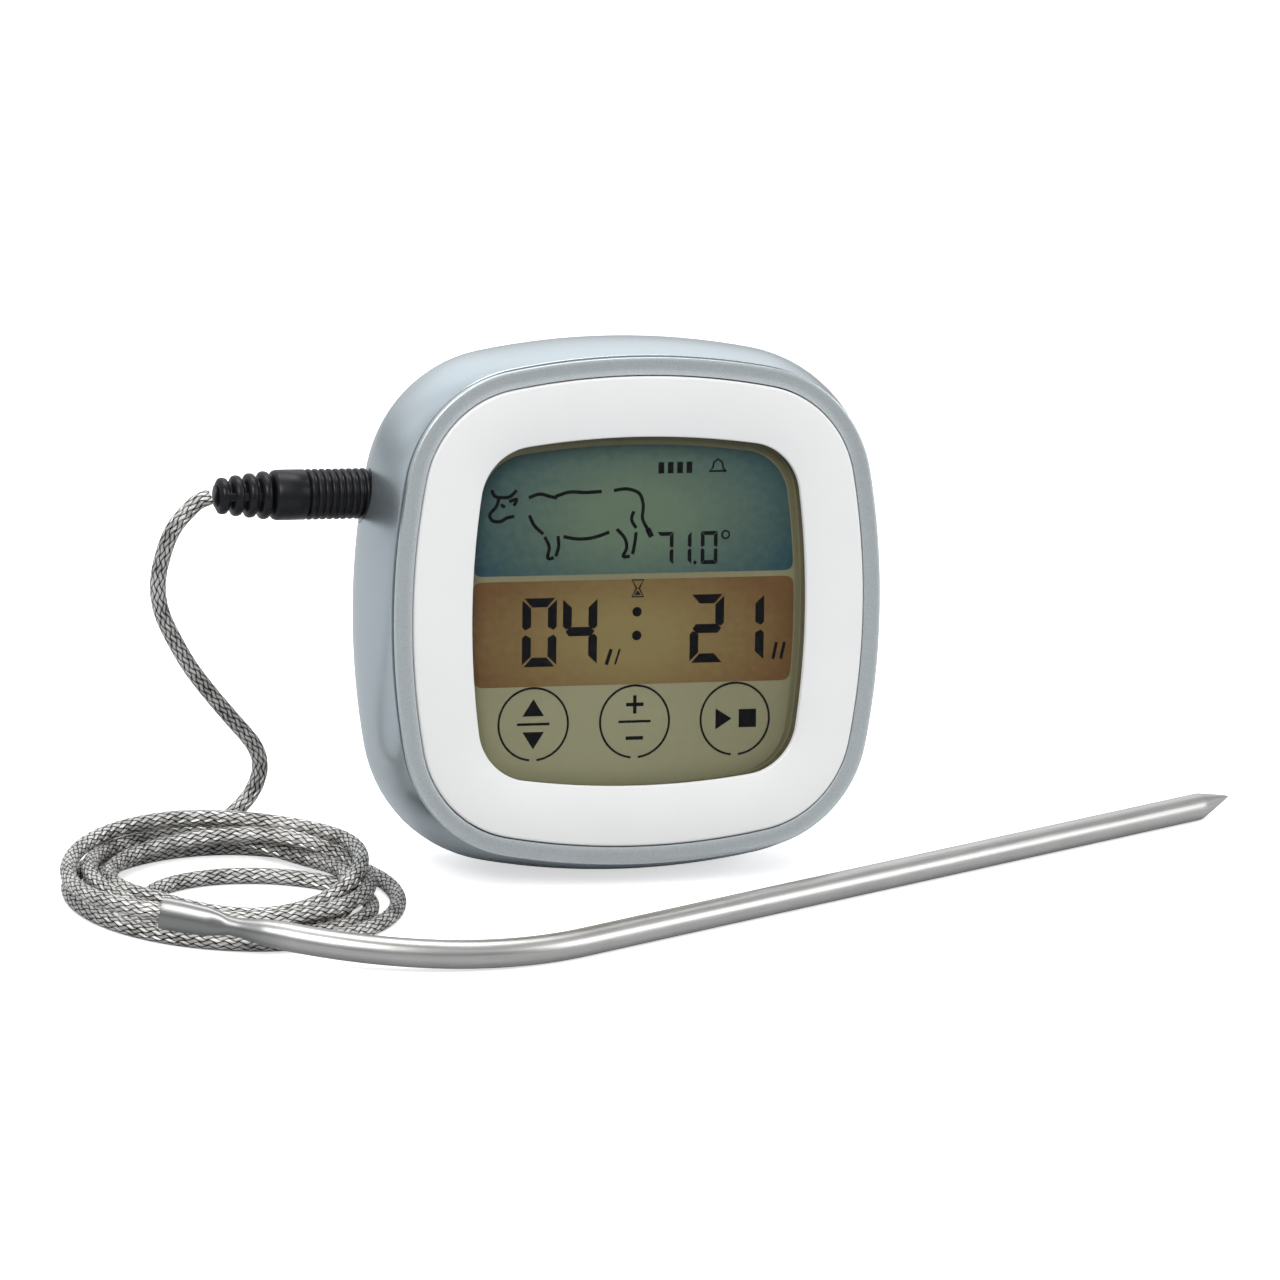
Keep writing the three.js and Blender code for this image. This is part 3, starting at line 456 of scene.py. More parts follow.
def tube_object(name, line, radius, sides):
    """A tube with a UV map: u is mm along, v goes once round."""
    bm = bmesh.new()
    rings = []
    for p, s, o in zip(line, *frames_along(line)):
        angles = [2 * math.pi * i / sides for i in range(sides)]
        rings.append([p + radius * (s * math.cos(a) + o * math.sin(a)) for a in angles])
    wrap_uv(bm, add_rings(bm, rings), distances(line))
    return new_object(name, bm, 60)


fine_line = evenly(smooth_route(CORD_LINE[::2], 8), 0.35)
cord = tube_object("probe_cord", fine_line, CORD_RADIUS, 20)


# --- materials

class Nodes:
    """Adds and joins the nodes of one tree."""

    def __init__(self, tree):
        self.tree = tree

    def feed(self, node, sockets):
        """Gives each input of a node its value, or a link from the output of another."""
        for key, value in sockets.items():
            socket = node.inputs[key]
            if isinstance(value, bpy.types.NodeSocket):
                self.tree.links.new(value, socket)
            elif socket.type == "RGBA":
                socket.default_value = (*value, 1)
            else:
                socket.default_value = value

    def node(self, kind, sockets=None, **settings):
        made = self.tree.nodes.new("ShaderNode" + kind)
        for key, value in settings.items():
            setattr(made, key, value)
        self.feed(made, sockets or {})
        return made

    def math(self, operation, a, b=0.0):
        return self.node("Math", {0: a, 1: b}, operation=operation).outputs[0]

    def place(self, stretch=(1, 1, 1), output="Object"):
        source = self.node("TexCoord").outputs[output]
        return self.node("Mapping", {"Scale": stretch, "Vector": source}).outputs["Vector"]

    def noise(self, scale, detail=3.0):
        node = self.node("TexNoise", {"Scale": scale, "Detail": detail, "Vector": self.place()})
        return node.outputs["Fac"]

    def span(self, value, low, high, start=0.3, end=0.7):
        """Spreads the part of a value from start to end over low to high."""
        node = self.node("MapRange", {"Value": value, "From Min": start, "From Max": end,
                                      "To Min": low, "To Max": high})
        return node.outputs["Result"]

    def blend(self, share, first, second):
        """Two colours mixed. Inputs 6 and 7 of the node are its two colours."""
        node = self.node("Mix", data_type="RGBA")
        self.feed(node, {"Factor": share, 6: first, 7: second})
        return node.outputs[2]


def scaled(colour, factor):
    return tuple(min(1, c * factor) for c in colour)


class Look(Nodes):
    """A node material built round one Principled shader."""

    def __init__(self, name, colour, rough, metal=0.0, **sockets):
        self.material = bpy.data.materials.new(name)
        self.material.use_nodes = True
        super().__init__(self.material.node_tree)
        self.shader = self.tree.nodes["Principled BSDF"]
        self.colour = colour
        self.rough = rough
        self.set(Base_Color=colour, Roughness=rough, Metallic=metal, **sockets)

    def set(self, **sockets):
        """Feeds the shader. A name's underscores stand for spaces."""
        self.feed(self.shader, {key.replace("_", " "): sockets[key] for key in sockets})

    def bump(self, height, strength, distance):
        """Shallow relief, its distance in metres."""
        node = self.node("Bump", {"Strength": strength, "Distance": distance, "Height": height})
        self.set(Normal=node.outputs["Normal"])

    def vary(self, scale, amount, rough_amount=0.06):
        """Slightly lighter and darker patches, and a roughness that goes with them."""
        patches = self.noise(scale)
        shades = scaled(self.colour, 1 - amount), scaled(self.colour, 1 + amount)
        self.set(Base_Color=self.blend(self.span(patches, 0, 1), *shades))
        self.set(Roughness=self.span(patches, self.rough - rough_amount,
                                     self.rough + rough_amount))


def moulded(name, colour, rough, grain=2600, depth=0.00002, amount=0.03, **sockets):
    look = Look(name, colour, rough, **sockets)
    look.vary(60, amount)
    look.bump(look.noise(grain, 2), 0.25, depth)
    return look.material


def metallic_paint(name, colour, rough, metal, flake):
    """Paint with fine flakes that catch the light, under a thin clear coat."""
    look = Look(name, colour, rough, metal, Coat_Weight=0.35, Coat_Roughness=0.12)
    patches = look.span(look.noise(25, 2), 0, 1)
    base = look.blend(patches, scaled(colour, 0.95), scaled(colour, 1.03))
    cells = look.node("TexVoronoi", {"Scale": 9000, "Vector": look.place()})
    sparkle = look.node("SeparateColor", {"Color": cells.outputs["Color"]})
    share = look.span(sparkle.outputs[0], 0, flake, 0, 1)
    look.set(Base_Color=look.blend(share, base, scaled(colour, 1.6)))
    look.bump(look.noise(7000, 2), 0.15, 0.00001)
    return look.material


def plated(name, colour, rough):
    look = Look(name, colour, rough, 1.0)
    look.vary(400, 0.05, 0.05)
    look.bump(look.noise(3600, 3), 0.1, 0.00001)
    return look.material


def rubber(name, colour, rough):
    look = Look(name, colour, rough, Specular_IOR_Level=0.28)
    look.vary(500, 0.25, 0.08)
    look.bump(look.noise(3500, 4), 0.4, 0.00002)
    return look.material


def clear_layer(name, tint, rough):
    """A thin clear layer: light passes through, apart from a gloss that grows at an angle."""
    look = Look(name, tint, rough)
    through = look.node("BsdfTransparent", {"Color": tint})
    uneven = look.span(look.noise(120, 2), rough * 0.7, rough * 1.3)
    gloss = look.node("BsdfGlossy", {"Roughness": uneven})
    fresnel = look.node("Fresnel", {"IOR": 1.16})
    mix = look.node("MixShader", {"Fac": fresnel.outputs["Fac"], 1: through.outputs[0],
                                  2: gloss.outputs[0]})
    look.feed(look.tree.nodes["Material Output"], {"Surface": mix.outputs[0]})
    look.tree.nodes.remove(look.shader)
    return look.material


def display_zone(name, middle, edge, centre, reach):
    """A zone of the display, lighter in its middle: its colour has painted shade that darkens it
    towards its edges. Centre and reach are in metres.
    """
    look = Look(name, middle, 0.45, Specular_IOR_Level=0.3)
    source = look.node("TexCoord").outputs["Object"]
    mapping = look.node("Mapping", {"Location": [-c / r for c, r in zip(centre, reach)],
                                    "Scale": [1 / r for r in reach], "Vector": source})
    painted_shade_falloff = look.node("TexGradient", {"Vector": mapping.outputs["Vector"]},
                     gradient_type="SPHERICAL")
    grain = look.noise(900, 2)
    share = look.math("ADD", painted_shade_falloff.outputs["Fac"], look.span(grain, -0.06, 0.06))
    # Painted shade: the edge colour at the rim of the gradient, the middle colour at its centre.
    look.set(Base_Color=look.blend(look.span(share, 0, 1, 0.0, 0.75), edge, middle))
    look.bump(look.noise(5000, 2), 0.05, 0.00001)
    return look.material


def braid_look():
    """Flat bundles of fine wire, plaited over and under each other."""
    look = Look("braided_steel", (0.62, 0.60, 0.57), 0.3, 1.0)
    bundles_per_mm, bundles_round, wires_in_bundle = 0.5, 9.0, 5
    source = look.node("TexCoord").outputs["UV"]
    parts = look.node("SeparateXYZ", {"Vector": source})
    along = look.math("MULTIPLY", parts.outputs["X"], bundles_per_mm)
    around = look.math("MULTIPLY", parts.outputs["Y"], bundles_round)
    one = look.math("ADD", along, around)
    other = look.math("SUBTRACT", along, around)
    over = look.math("MODULO", look.math("ADD", look.math("FLOOR", one),
                                         look.math("FLOOR", look.math("ADD", other, 50))), 2.0)
    shapes = []
    for value in (one, other):
        cell = look.math("FRACT", look.math("ADD", value, 50))
        hump = look.math("SINE", look.math("MULTIPLY", cell, math.pi))
        wire = look.math("SINE", look.math("MULTIPLY", cell, 2 * math.pi * wires_in_bundle))
        wires = look.math("MULTIPLY", wire, 0.18)
        shapes.append(look.math("ADD", look.math("POWER", hump, 0.55), wires))
    difference = look.math("SUBTRACT", shapes[1], shapes[0])
    height = look.math("ADD", shapes[0], look.math("MULTIPLY", difference, over))
    # Painted shade: the colour goes from near black where a strand dips under the others up to
    # near white on the strand tops.
    shade = look.math("MULTIPLY", height, look.span(look.noise(350), 0.75, 1.05))
    look.set(Base_Color=look.blend(look.span(shade, 0, 1, 0.55, 0.88), (0.024, 0.021, 0.018),
                                   (1.0, 0.975, 0.93)))
    look.set(Roughness=look.span(height, 0.5, 0.34, 0.3, 1.0))
    look.bump(height, 0.8, 0.00018)
    return look.material


def brushed_steel():
    """Drawn tube with fine lines along it, darker where its end is pressed flat: painted shade."""
    look = Look("drawn_steel", (0.52, 0.51, 0.495), 0.36, 1.0)
    lines = look.node("TexNoise", {"Scale": 1.0, "Detail": 4.0,
                                   "Vector": look.place((0.05, 60, 1), "UV")}).outputs["Fac"]
    streaks = look.math("ADD", look.math("MULTIPLY", lines, 0.7),
                        look.math("MULTIPLY", look.noise(130, 4), 0.3))
    bright = look.blend(look.span(streaks, 0, 1), (0.44, 0.43, 0.415), (0.58, 0.57, 0.555))
    look.set(Roughness=look.span(streaks, 0.3, 0.42))
    parts = look.node("SeparateXYZ", {"Vector": look.place(output="UV")})
    past_the_painted_shade = look.span(parts.outputs["X"], 0, 1, 12, 19)
    # Painted shade: dark grey within 12 mm of the socket's mouth, back to the steel's colour by 19
    # mm.
    look.set(Base_Color=look.blend(past_the_painted_shade, (0.27, 0.27, 0.265), bright))
    look.bump(lines, 0.08, 0.00003)
    return look.material


WHITE = moulded("white_plastic", (0.80, 0.795, 0.785), 0.36, Coat_Weight=0.15,
                Coat_Roughness=0.2, amount=0.012)
RING = metallic_paint("ring_metallic", (0.56, 0.60, 0.61), 0.34, 0.8, 0.35)
SHELL = metallic_paint("shell_silver", (0.49, 0.55, 0.58), 0.27, 0.85, 0.12)
LENS = clear_layer("clear_lens", (0.99, 0.99, 0.985), 0.12)
BLACK_RUBBER = rubber("black_rubber", (0.006, 0.006, 0.008), 0.36)
DARK_PLASTIC = moulded("dark_plastic", (0.02, 0.021, 0.024), 0.42, amount=0.15)
NICKEL = plated("nickel_plate", (0.70, 0.69, 0.66), 0.22)
BRASS = plated("plug_brass", (0.62, 0.47, 0.22), 0.25)
BRAID = braid_look()
STEEL = brushed_steel()
BOARD = moulded("circuit_board", (0.02, 0.13, 0.05), 0.4, grain=900, depth=0.00004, amount=0.2)
EPOXY = moulded("epoxy", (0.01, 0.01, 0.012), 0.18, grain=500, depth=0.00005, amount=0.2)
DIFFUSER = moulded("diffuser", (0.72, 0.72, 0.68), 0.5, amount=0.03)
JACKET = moulded("cell_jacket", (0.05, 0.13, 0.24), 0.3, amount=0.1)
SLEEVE = moulded("lead_sleeve", (0.7, 0.7, 0.68), 0.5, amount=0.05)
INK = moulded("display_ink", (0.006, 0.006, 0.008), 0.7, amount=0.2, Specular_IOR_Level=0.08)

# Nodes carried over as they are, with the look that each gets.
CARRIED = [
    (LENS, ["touch_lens", "touch_film"]), (DIFFUSER, ["light_guide"]),
    (DARK_PLASTIC, ["lcd_frame", "buzzer", "probe_jack", "switch_body"]),
    (BLACK_RUBBER, ["zebra_strip", "plug_insulator"]), (BOARD, ["main_board"]),
    (EPOXY, ["controller_blob", "probe_bead"]), (BRASS, ["plug_ferrule", "plug_tip"]),
    (NICKEL, ["clock_crystal", "contact_bridge", "contact_plus", "contact_minus",
              "contact_spring_1", "contact_spring_2", "stand_pin"]),
    (JACKET, ["battery_cell_1", "battery_cell_2"]), (SLEEVE, ["sensor_lead"]),
]
for look, node_names in CARRIED:
    for node_name in node_names:
        node_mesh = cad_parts[node_name].data
        node_mesh.materials.clear()
        node_mesh.materials.append(look)


# --- cord and probe

finish_piece(cord, ROW, "probe_lead", BRAID, "braided_steel", "cord", "cord_coil")


def probe_widths(distance):
    """How much wider and thinner than round the socket end is, by distance from its mouth."""
    stations = [0, 3, 6.5, 8, 9.5, 11, 12.5, 14.5, 17]
    wide = np.interp(distance, stations, [1.14, 1.12, 1.02, 0.86, 0.66, 0.66, 0.78, 0.94, 1.0])
    thin = np.interp(distance, stations, [0.74, 0.72, 0.68, 0.64, 0.62, 0.64, 0.74, 0.92, 1.0])
    return wide, thin


def make_probe():
    step, sides = 0.5, 48
    roll = math.radians(76)
    line = probe_path(step)
    ahead = directions(line)
    rings = []
    marks = []

    def ring(centre, direction, radius, wide, thin, mark, dimple=0.0):
        side = np.cross(direction, [0, 0, 1.0])
        side /= np.linalg.norm(side)
        over = np.cross(side, direction)
        turn = roll * min(1.0, max(0.0, (15 - mark) / 6))   # Ends 15 mm from the mouth.
        side, over = (side * math.cos(turn) - over * math.sin(turn),
                      side * math.sin(turn) + over * math.cos(turn))
        points = []
        for i in range(sides):
            angle = 2 * math.pi * i / sides
            u, v = math.cos(angle) * wide, math.sin(angle) * thin
            size = radius - dimple * max(0.0, math.sin(angle)) ** 6
            points.append(centre + size * (side * u + over * v))
        rings.append(points)
        marks.append(mark)

    wide, thin = probe_widths(0)
    for depth, radius in [(6.0, 1.52), (3.0, 1.52), (0.25, 1.52), (0, 1.62), (0, 1.86)]:
        place = SOCKET_END + HANDLE_DIRECTION * depth
        ring(place, HANDLE_DIRECTION, radius, wide, thin, depth)
    for j, centre in enumerate(line):
        distance = j * step
        wide, thin = probe_widths(distance)
        radius = PROBE_RADIUS - (0.06 if j == 0 else 0)
        dent = 0.3 * math.exp(-(distance - 8.0) ** 2)
        ring(centre, ahead[j], radius, wide, thin, distance, dent)
    last = len(line) * step
    for i in range(1, 15):
        share = i / 14
        radius = PROBE_RADIUS * (1 - share) ** 0.86 * (1 - 0.06 * share) + 0.06
        lift = np.array([0, 0, 0.6 * share])
        place = TIP_BASE + SHAFT_DIRECTION * POINT_LENGTH * share + lift
        ring(place, SHAFT_DIRECTION, radius, 1, 1, last + 6 * share)
    bm = bmesh.new()
    wrap_uv(bm, add_rings(bm, rings), marks)
    probe = new_object("probe", bm, 50)
    finish_piece(probe, ROW, "probe_lead", STEEL, "probe_steel", "probe_tube")


make_probe()


# --- plug

PLUG_DEPTH = 14.5
PLUG_HEIGHT = 16.1
PLUG_SEAT_X = -36.2
PLUG_PLACE = (PLUG_DEPTH, PLUG_HEIGHT)
PLUG_GAP = 0.3
GRIP_RIBS = 9
COLLAR = 4.9


def plug_sleeve():
    start = PLUG_SEAT_X - PLUG_GAP
    profile = [(start + 0.1, 0.02), (start + 0.1, 3.0)]
    for i in range(GRIP_RIBS):
        for along, radius in [(0.02, 3.28), (0.1, 3.5), (0.24, 3.59), (0.55, 3.6),
                              (0.68, 3.5), (0.78, 3.26)]:
            profile.append((start - i - along, radius))
    for along, radius in [(0.02, 3.4), (0.15, 3.58), (2.4, 3.6), (4.2, 3.58), (4.6, 3.45),
                          (4.85, 3.15), (COLLAR, 2.6), (COLLAR, 0.02)]:
        profile.append((start - GRIP_RIBS - along, radius))
    sleeve = turned("plug_body", profile, "X", PLUG_PLACE, 72, sharp=60)
    finish_piece(sleeve, HOUSING, "probe_lead", BLACK_RUBBER, "black_rubber", "plug_sleeve")


def plug_relief():
    start = PLUG_SEAT_X - PLUG_GAP - GRIP_RIBS - COLLAR - 0.2
    profile = [(start, 0.02), (start, 2.1)]
    for i, radius in enumerate([3.4, 3.15, 2.9, 2.6]):
        x = start - 2 * i
        for along, drop in [(0.05, 0.9), (0.18, 0.45), (0.42, 0.12), (0.75, 0.0), (1.15, 0.0),
                            (1.42, 0.12), (1.62, 0.45), (1.72, 0.9), (1.84, 1.15)]:
            profile.append((x - along, radius - drop))
    end = start - 8
    profile += [(end + 0.05, 1.6), (end, 1.45), (end, 0.02)]
    relief = turned("plug_relief", profile, "X", PLUG_PLACE, 72, sharp=60)
    for side in (-1, 1):
        y = PLUG_DEPTH + side * 2.25
        join(relief, rounded_slab("web", end + 0.9, start, PLUG_HEIGHT - 0.55,
                                  PLUG_HEIGHT + 0.55, y - 0.3, y + 0.3, 0.2, 0.12, 0.12))
    return finish_piece(relief, HOUSING, "probe_lead", BLACK_RUBBER, "black_rubber",
                        "strain_relief")


plug_sleeve()
relief_piece = plug_relief()


# --- rear shell

BACK_DEPTH = 22.1
BEYOND = 24
MAGNET_X, MAGNET_Z = 21.8, -6
SCREW_X, SCREW_HEIGHTS = 28.9, (6, -16)


def shell_profile(inset, front):
    """Depths and half widths: straight sides with a little draft, then a rounded back."""
    bend, half, corner = 12.7, 38.2, 5.8
    stations = []
    for i in range(9):
        share = 1 - i / 8
        depth = bend + (front - bend) * share
        stations.append((depth, half - inset - 1.8 * share * share))
    for i in range(1, 13):
        angle = math.pi / 2 * i / 12
        stations.append((bend + (BACK_DEPTH - bend - inset) * math.sin(angle),
                         half - corner + (corner - inset) * math.cos(angle)))
    return stations


def rear_shell():
    def rings_of(stations, **detail):
        return [at_depth(scaled_outline(half, **detail), depth) for depth, half in stations]

    def slab(target, name, x0, x1, z0, z1, y0, corner):
        carve(target, rounded_slab(name, x0, x1, z0, z1, y0, BEYOND, corner))

    def bore(target, name, profile, x, z, segments):
        carve(target, turned(name, profile, "Y", (x, z), segments))

    outside = [(1.7, 36.1), (1.72, 36.3)]
    outside += [(max(depth, 1.85), half) for depth, half in shell_profile(0, 1.7)]
    outside.append((BACK_DEPTH, 32.0))
    shell = ringed("rear_shell_body", rings_of(outside, sides=16, corners=14))
    cavity = ringed("cavity", rings_of(shell_profile(1.6, 0.7), sides=8, corners=8))
    slab(cavity, "bay", -25.9, 25.9, 2.8, 26.7, 8.7, 0.5)
    slab(cavity, "pocket", -16.1, 16.1, -42, 3.0, 15.9, 0.5)
    for side in (-1, 1):
        bore(cavity, "seat", [(18.6, 6.4), (BEYOND, 6.4)], side * MAGNET_X, MAGNET_Z, 32)
        for z in SCREW_HEIGHTS:
            bore(cavity, "boss", [(8.9, 3.2), (BEYOND, 3.2)], side * SCREW_X, z, 24)
    carve(shell, cavity)
    slab(shell, "bay", -24.9, 24.9, 3.8, 25.7, 9.7, 0.6)
    slab(shell, "ledge", -26.0, 26.0, 3.8, 25.7, 20.5, 1.4)
    slab(shell, "leg", -13.5, 13.5, -42, 1.4, 18.6, 1.6)
    slab(shell, "barrel", -13.5, 13.5, -3.4, 1.4, 17.3, 1.0)
    hole = [(7, 1.3), (11.9, 1.3), (11.9, 2.45), (BEYOND, 2.45)]
    for side in (-1, 1):
        bore(shell, "magnet", [(19.8, 5.3), (BEYOND, 5.3)], side * MAGNET_X, MAGNET_Z, 64)
        for z in SCREW_HEIGHTS:
            bore(shell, "hole", hole, side * SCREW_X, z, 32)
    slab(shell, "slot", 17.8, 25.0, -23.6, -20.4, 18, 0.5)
    seat = [(-42, 4.2), (PLUG_SEAT_X, 4.2), (PLUG_SEAT_X, 2.7), (PLUG_SEAT_X + 4, 2.7)]
    carve(shell, turned("plug_seat", seat, "X", PLUG_PLACE, 48))
    for i in range(5):
        x, z = -18 - 1.8 * (i % 3), -21.5 - 2.4 * (i // 3)
        bore(shell, "sound", [(18, 0.6), (BEYOND, 0.6)], x, z, 20)
    ground = rounded_slab("ground", -60, 60, -60, 60, -40, 40, 0.5)
    ground.data.transform(Matrix.Translation((0, 0, -60)))
    ground.data.transform(HOUSING.inverted() @ ROW)
    carve(shell, ground)
    resmooth(shell, 30)
    weighted = shell.modifiers.new("normals", "WEIGHTED_NORMAL")
    weighted.keep_sharp = True
    finish_piece(shell, HOUSING, "housing", SHELL, "shell_silver", "rear_shell")


rear_shell()


# --- ring and front cover

FINE_DETAIL = {"sides": 28, "corners": 20}


def bezel_ring():
    section = [(33.58, 1.3), (33.58, 0.5), (33.64, 0.36), (33.8, 0.3), (34.6, 0.24),
               (35.5, 0.24), (35.95, 0.27), (36.04, 0.31), (36.08, 0.4), (36.08, 1.2),
               (34.5, 1.25), (34.5, 5.5), (33.7, 5.5)]
    rings = [at_depth(face_outline(half, **FINE_DETAIL), y) for half, y in section]
    ring = ringed("front_ring", rings, sharp=45, loop=True)
    finish_piece(ring, HOUSING, "housing", RING, "bezel_metallic", "bezel_ring")


def front_cover():
    inner = [(26.7, 1.6), (26.7, 0.9), (24.88, 0.9), (24.86, 0.25), (24.92, 0.1), (25.08, 0.0)]
    outer = [(33.0, 0.0), (33.2, 0.03), (33.36, 0.14), (33.42, 0.32), (33.42, 6.8), (32.2, 6.8),
             (32.2, 1.6)]
    rings = [at_depth(window_outline(half, **FINE_DETAIL), y) for half, y in inner]
    rings += [at_depth(face_outline(half, **FINE_DETAIL), y) for half, y in outer]
    cover = ringed("face_cover", rings, sharp=40, loop=True)
    finish_piece(cover, HOUSING, "housing", WHITE, "white_plastic", "front_cover")


bezel_ring()
front_cover()


# --- display

# The zones' side edges are arcs of one radius, and their middles are this far off centre.
ZONE_RADIUS = 120.15
ZONE_CENTRE = 96.15
GLASS_FACE = 3.3
INK_FACE = 3.26
UPPER_ZONE_FOOT = 5.11
LOWER_ZONE_TOP, LOWER_ZONE_FOOT = 4.31, -10.7
ZONE_CORNER = 1.4
KEY_PLACES = (-14.74, 0.35, 15.39)
KEY_HEIGHT = -16.03


def side_limit(z):
    """Half the width of the zones at a height."""
    z += 0.5
    return math.sqrt(ZONE_RADIUS ** 2 - z * z) - ZONE_CENTRE


def rounded_corners(points, radii):
    """A closed outline with each corner rounded by its radius."""
    steps = 8
    made = []
    count = len(points)
    for i, corner in enumerate(points):
        here = Vector(corner)
        radius = radii[i]
        if radius <= 0:
            made.append(tuple(here))
            continue
        a = (Vector(points[i - 1]) - here).normalized() * radius
        b = (Vector(points[(i + 1) % count]) - here).normalized() * radius
        for k in range(steps + 1):
            t = k / steps
            p = here + a * (1 - t) ** 2 + b * t * t
            made.append((p.x, p.y))
    return made


def flat_piece(name, outlines, y0, y1):
    """Flat shapes of one thickness, from closed outlines of (x, z)."""
    bm = bmesh.new()
    for outline in outlines:
        add_rings(bm, [at_depth(outline, y0), at_depth(outline, y1)])
    return new_object(name, bm, 30)


def stroke(points, width, closed=False):
    """Quads along a line of (x, z) points, joined at their corners."""
    p = [Vector(q) for q in points]
    count = len(p)
    normals = []
    for i in range(count):
        before = p[i - 1] if (closed or i > 0) else p[i]
        after = p[(i + 1) % count] if (closed or i < count - 1) else p[i]
        d = (after - before).normalized()
        normals.append(Vector((-d.y, d.x)) * width / 2)
    made = []
    for i in range(count if closed else count - 1):
        j = (i + 1) % count
        quad = [p[i] + normals[i], p[j] + normals[j], p[j] - normals[j], p[i] - normals[i]]
        made.append([(q.x, q.y) for q in quad])
    return made


SEGMENTS = {"0": "abcdef", "1": "bc", "2": "abged", "4": "fgbc", "7": "abc"}
# Each bar's shape, and which way it is mirrored.
BARS = {"a": ("level", 1, 1), "d": ("level", 1, -1), "g": ("middle", 1, 1),
        "b": ("upright", 1, 1), "c": ("upright", 1, -1), "e": ("upright", -1, -1),
        "f": ("upright", -1, 1)}


def seven_segment(digit, x, z, width, height, bar, gap):
    """Bars with slanted ends, as on a liquid crystal display."""
    h, right, top = bar / 2, width / 2, height / 2
    inner = right - bar - gap * 0.6
    blunt, tip = right - h - gap, right - gap * 1.5
    shapes = {
        "level": [(gap - right, top), (right - gap, top), (inner, top - bar), (-inner, top - bar)],
        "middle": [(-tip, 0), (-blunt, h), (blunt, h), (tip, 0), (blunt, -h), (-blunt, -h)],
        "upright": [(right, top - gap), (right - bar, top - bar - gap * 0.6),
                    (right - bar, h + gap * 0.5), (right - h * 0.7, gap * 1.2),
                    (right, h * 0.8 + gap)],
    }
    made = []
    for key in SEGMENTS[digit]:
        shape, across, up = BARS[key]
        made.append([(x + right + across * u, z + top + up * v) for u, v in shapes[shape]])
    return made


def curved(line):
    """A smooth line of (x, z) points through the given ones."""
    per_span = 5
    curve = []
    for i in range(len(line) - 1):
        p0 = Vector(line[max(i - 1, 0)])
        p1, p2 = Vector(line[i]), Vector(line[i + 1])
        p3 = Vector(line[min(i + 2, len(line) - 1)])
        for k in range(per_span):
            t = k / per_span
            q = 0.5 * (2 * p1 + (p2 - p0) * t + (2 * p0 - 5 * p1 + 4 * p2 - p3) * t * t
                       + (3 * p1 - p0 - 3 * p2 + p3) * t ** 3)
            curve.append((q.x, q.y))
    curve.append(line[-1])
    return curve


def cattle_strokes():
    """A plain drawing of a cow that looks left, in open strokes."""
    lines = [
        # Horns, then the head with its eye and ear.
        [(-21.3, 17.4), (-20.8, 16.5), (-19.7, 16.3), (-18.6, 16.4), (-17.6, 17.3)],
        [(-20.2, 16.2), (-20.6, 15.0), (-21.5, 14.0), (-21.2, 13.1), (-20.0, 12.9),
         (-19.0, 13.4), (-17.9, 13.6)],
        [(-19.9, 15.3), (-19.3, 14.9)], [(-18.7, 15.7), (-17.6, 16.0), (-18.0, 15.1)],
        # The back, then the tail.
        [(-15.8, 16.2), (-14.2, 16.7), (-12.6, 16.3), (-11.6, 16.1)],
        [(-11.9, 16.3), (-9.8, 16.9), (-7.4, 16.8), (-5.0, 16.9)],
        [(-3.2, 17.0), (-1.2, 17.2), (0.6, 16.5), (1.2, 14.8), (1.1, 13.0), (1.7, 11.7)],
        [(1.6, 12.0), (2.1, 10.9)],
        # The front legs, the hind legs and the belly.
        [(-15.7, 13.7), (-14.9, 12.2), (-13.6, 11.0)],
        [(-13.4, 10.6), (-12.7, 9.2), (-12.9, 7.6), (-12.0, 7.6)],
        [(-11.4, 10.7), (-11.3, 9.2), (-11.7, 7.8)],
        [(-2.7, 11.5), (-1.5, 10.2), (-1.2, 8.8), (-1.7, 7.6), (-0.7, 7.6)],
        [(0.2, 11.0), (0.0, 9.4), (-0.3, 7.9)], [(-0.2, 14.0), (-0.5, 12.8), (0.2, 11.6)],
        [(-10.6, 10.6), (-8.4, 10.2), (-6.0, 10.4), (-3.8, 11.1)],
    ]
    made = stroke([(1.9, 11.5), (2.5, 10.3)], 0.8)
    for line in lines:
        made += stroke(curved(line), 0.48)
    return made


def ink_piece(name, shapes):
    return flat_piece(name, shapes, INK_FACE, GLASS_FACE - 0.01)


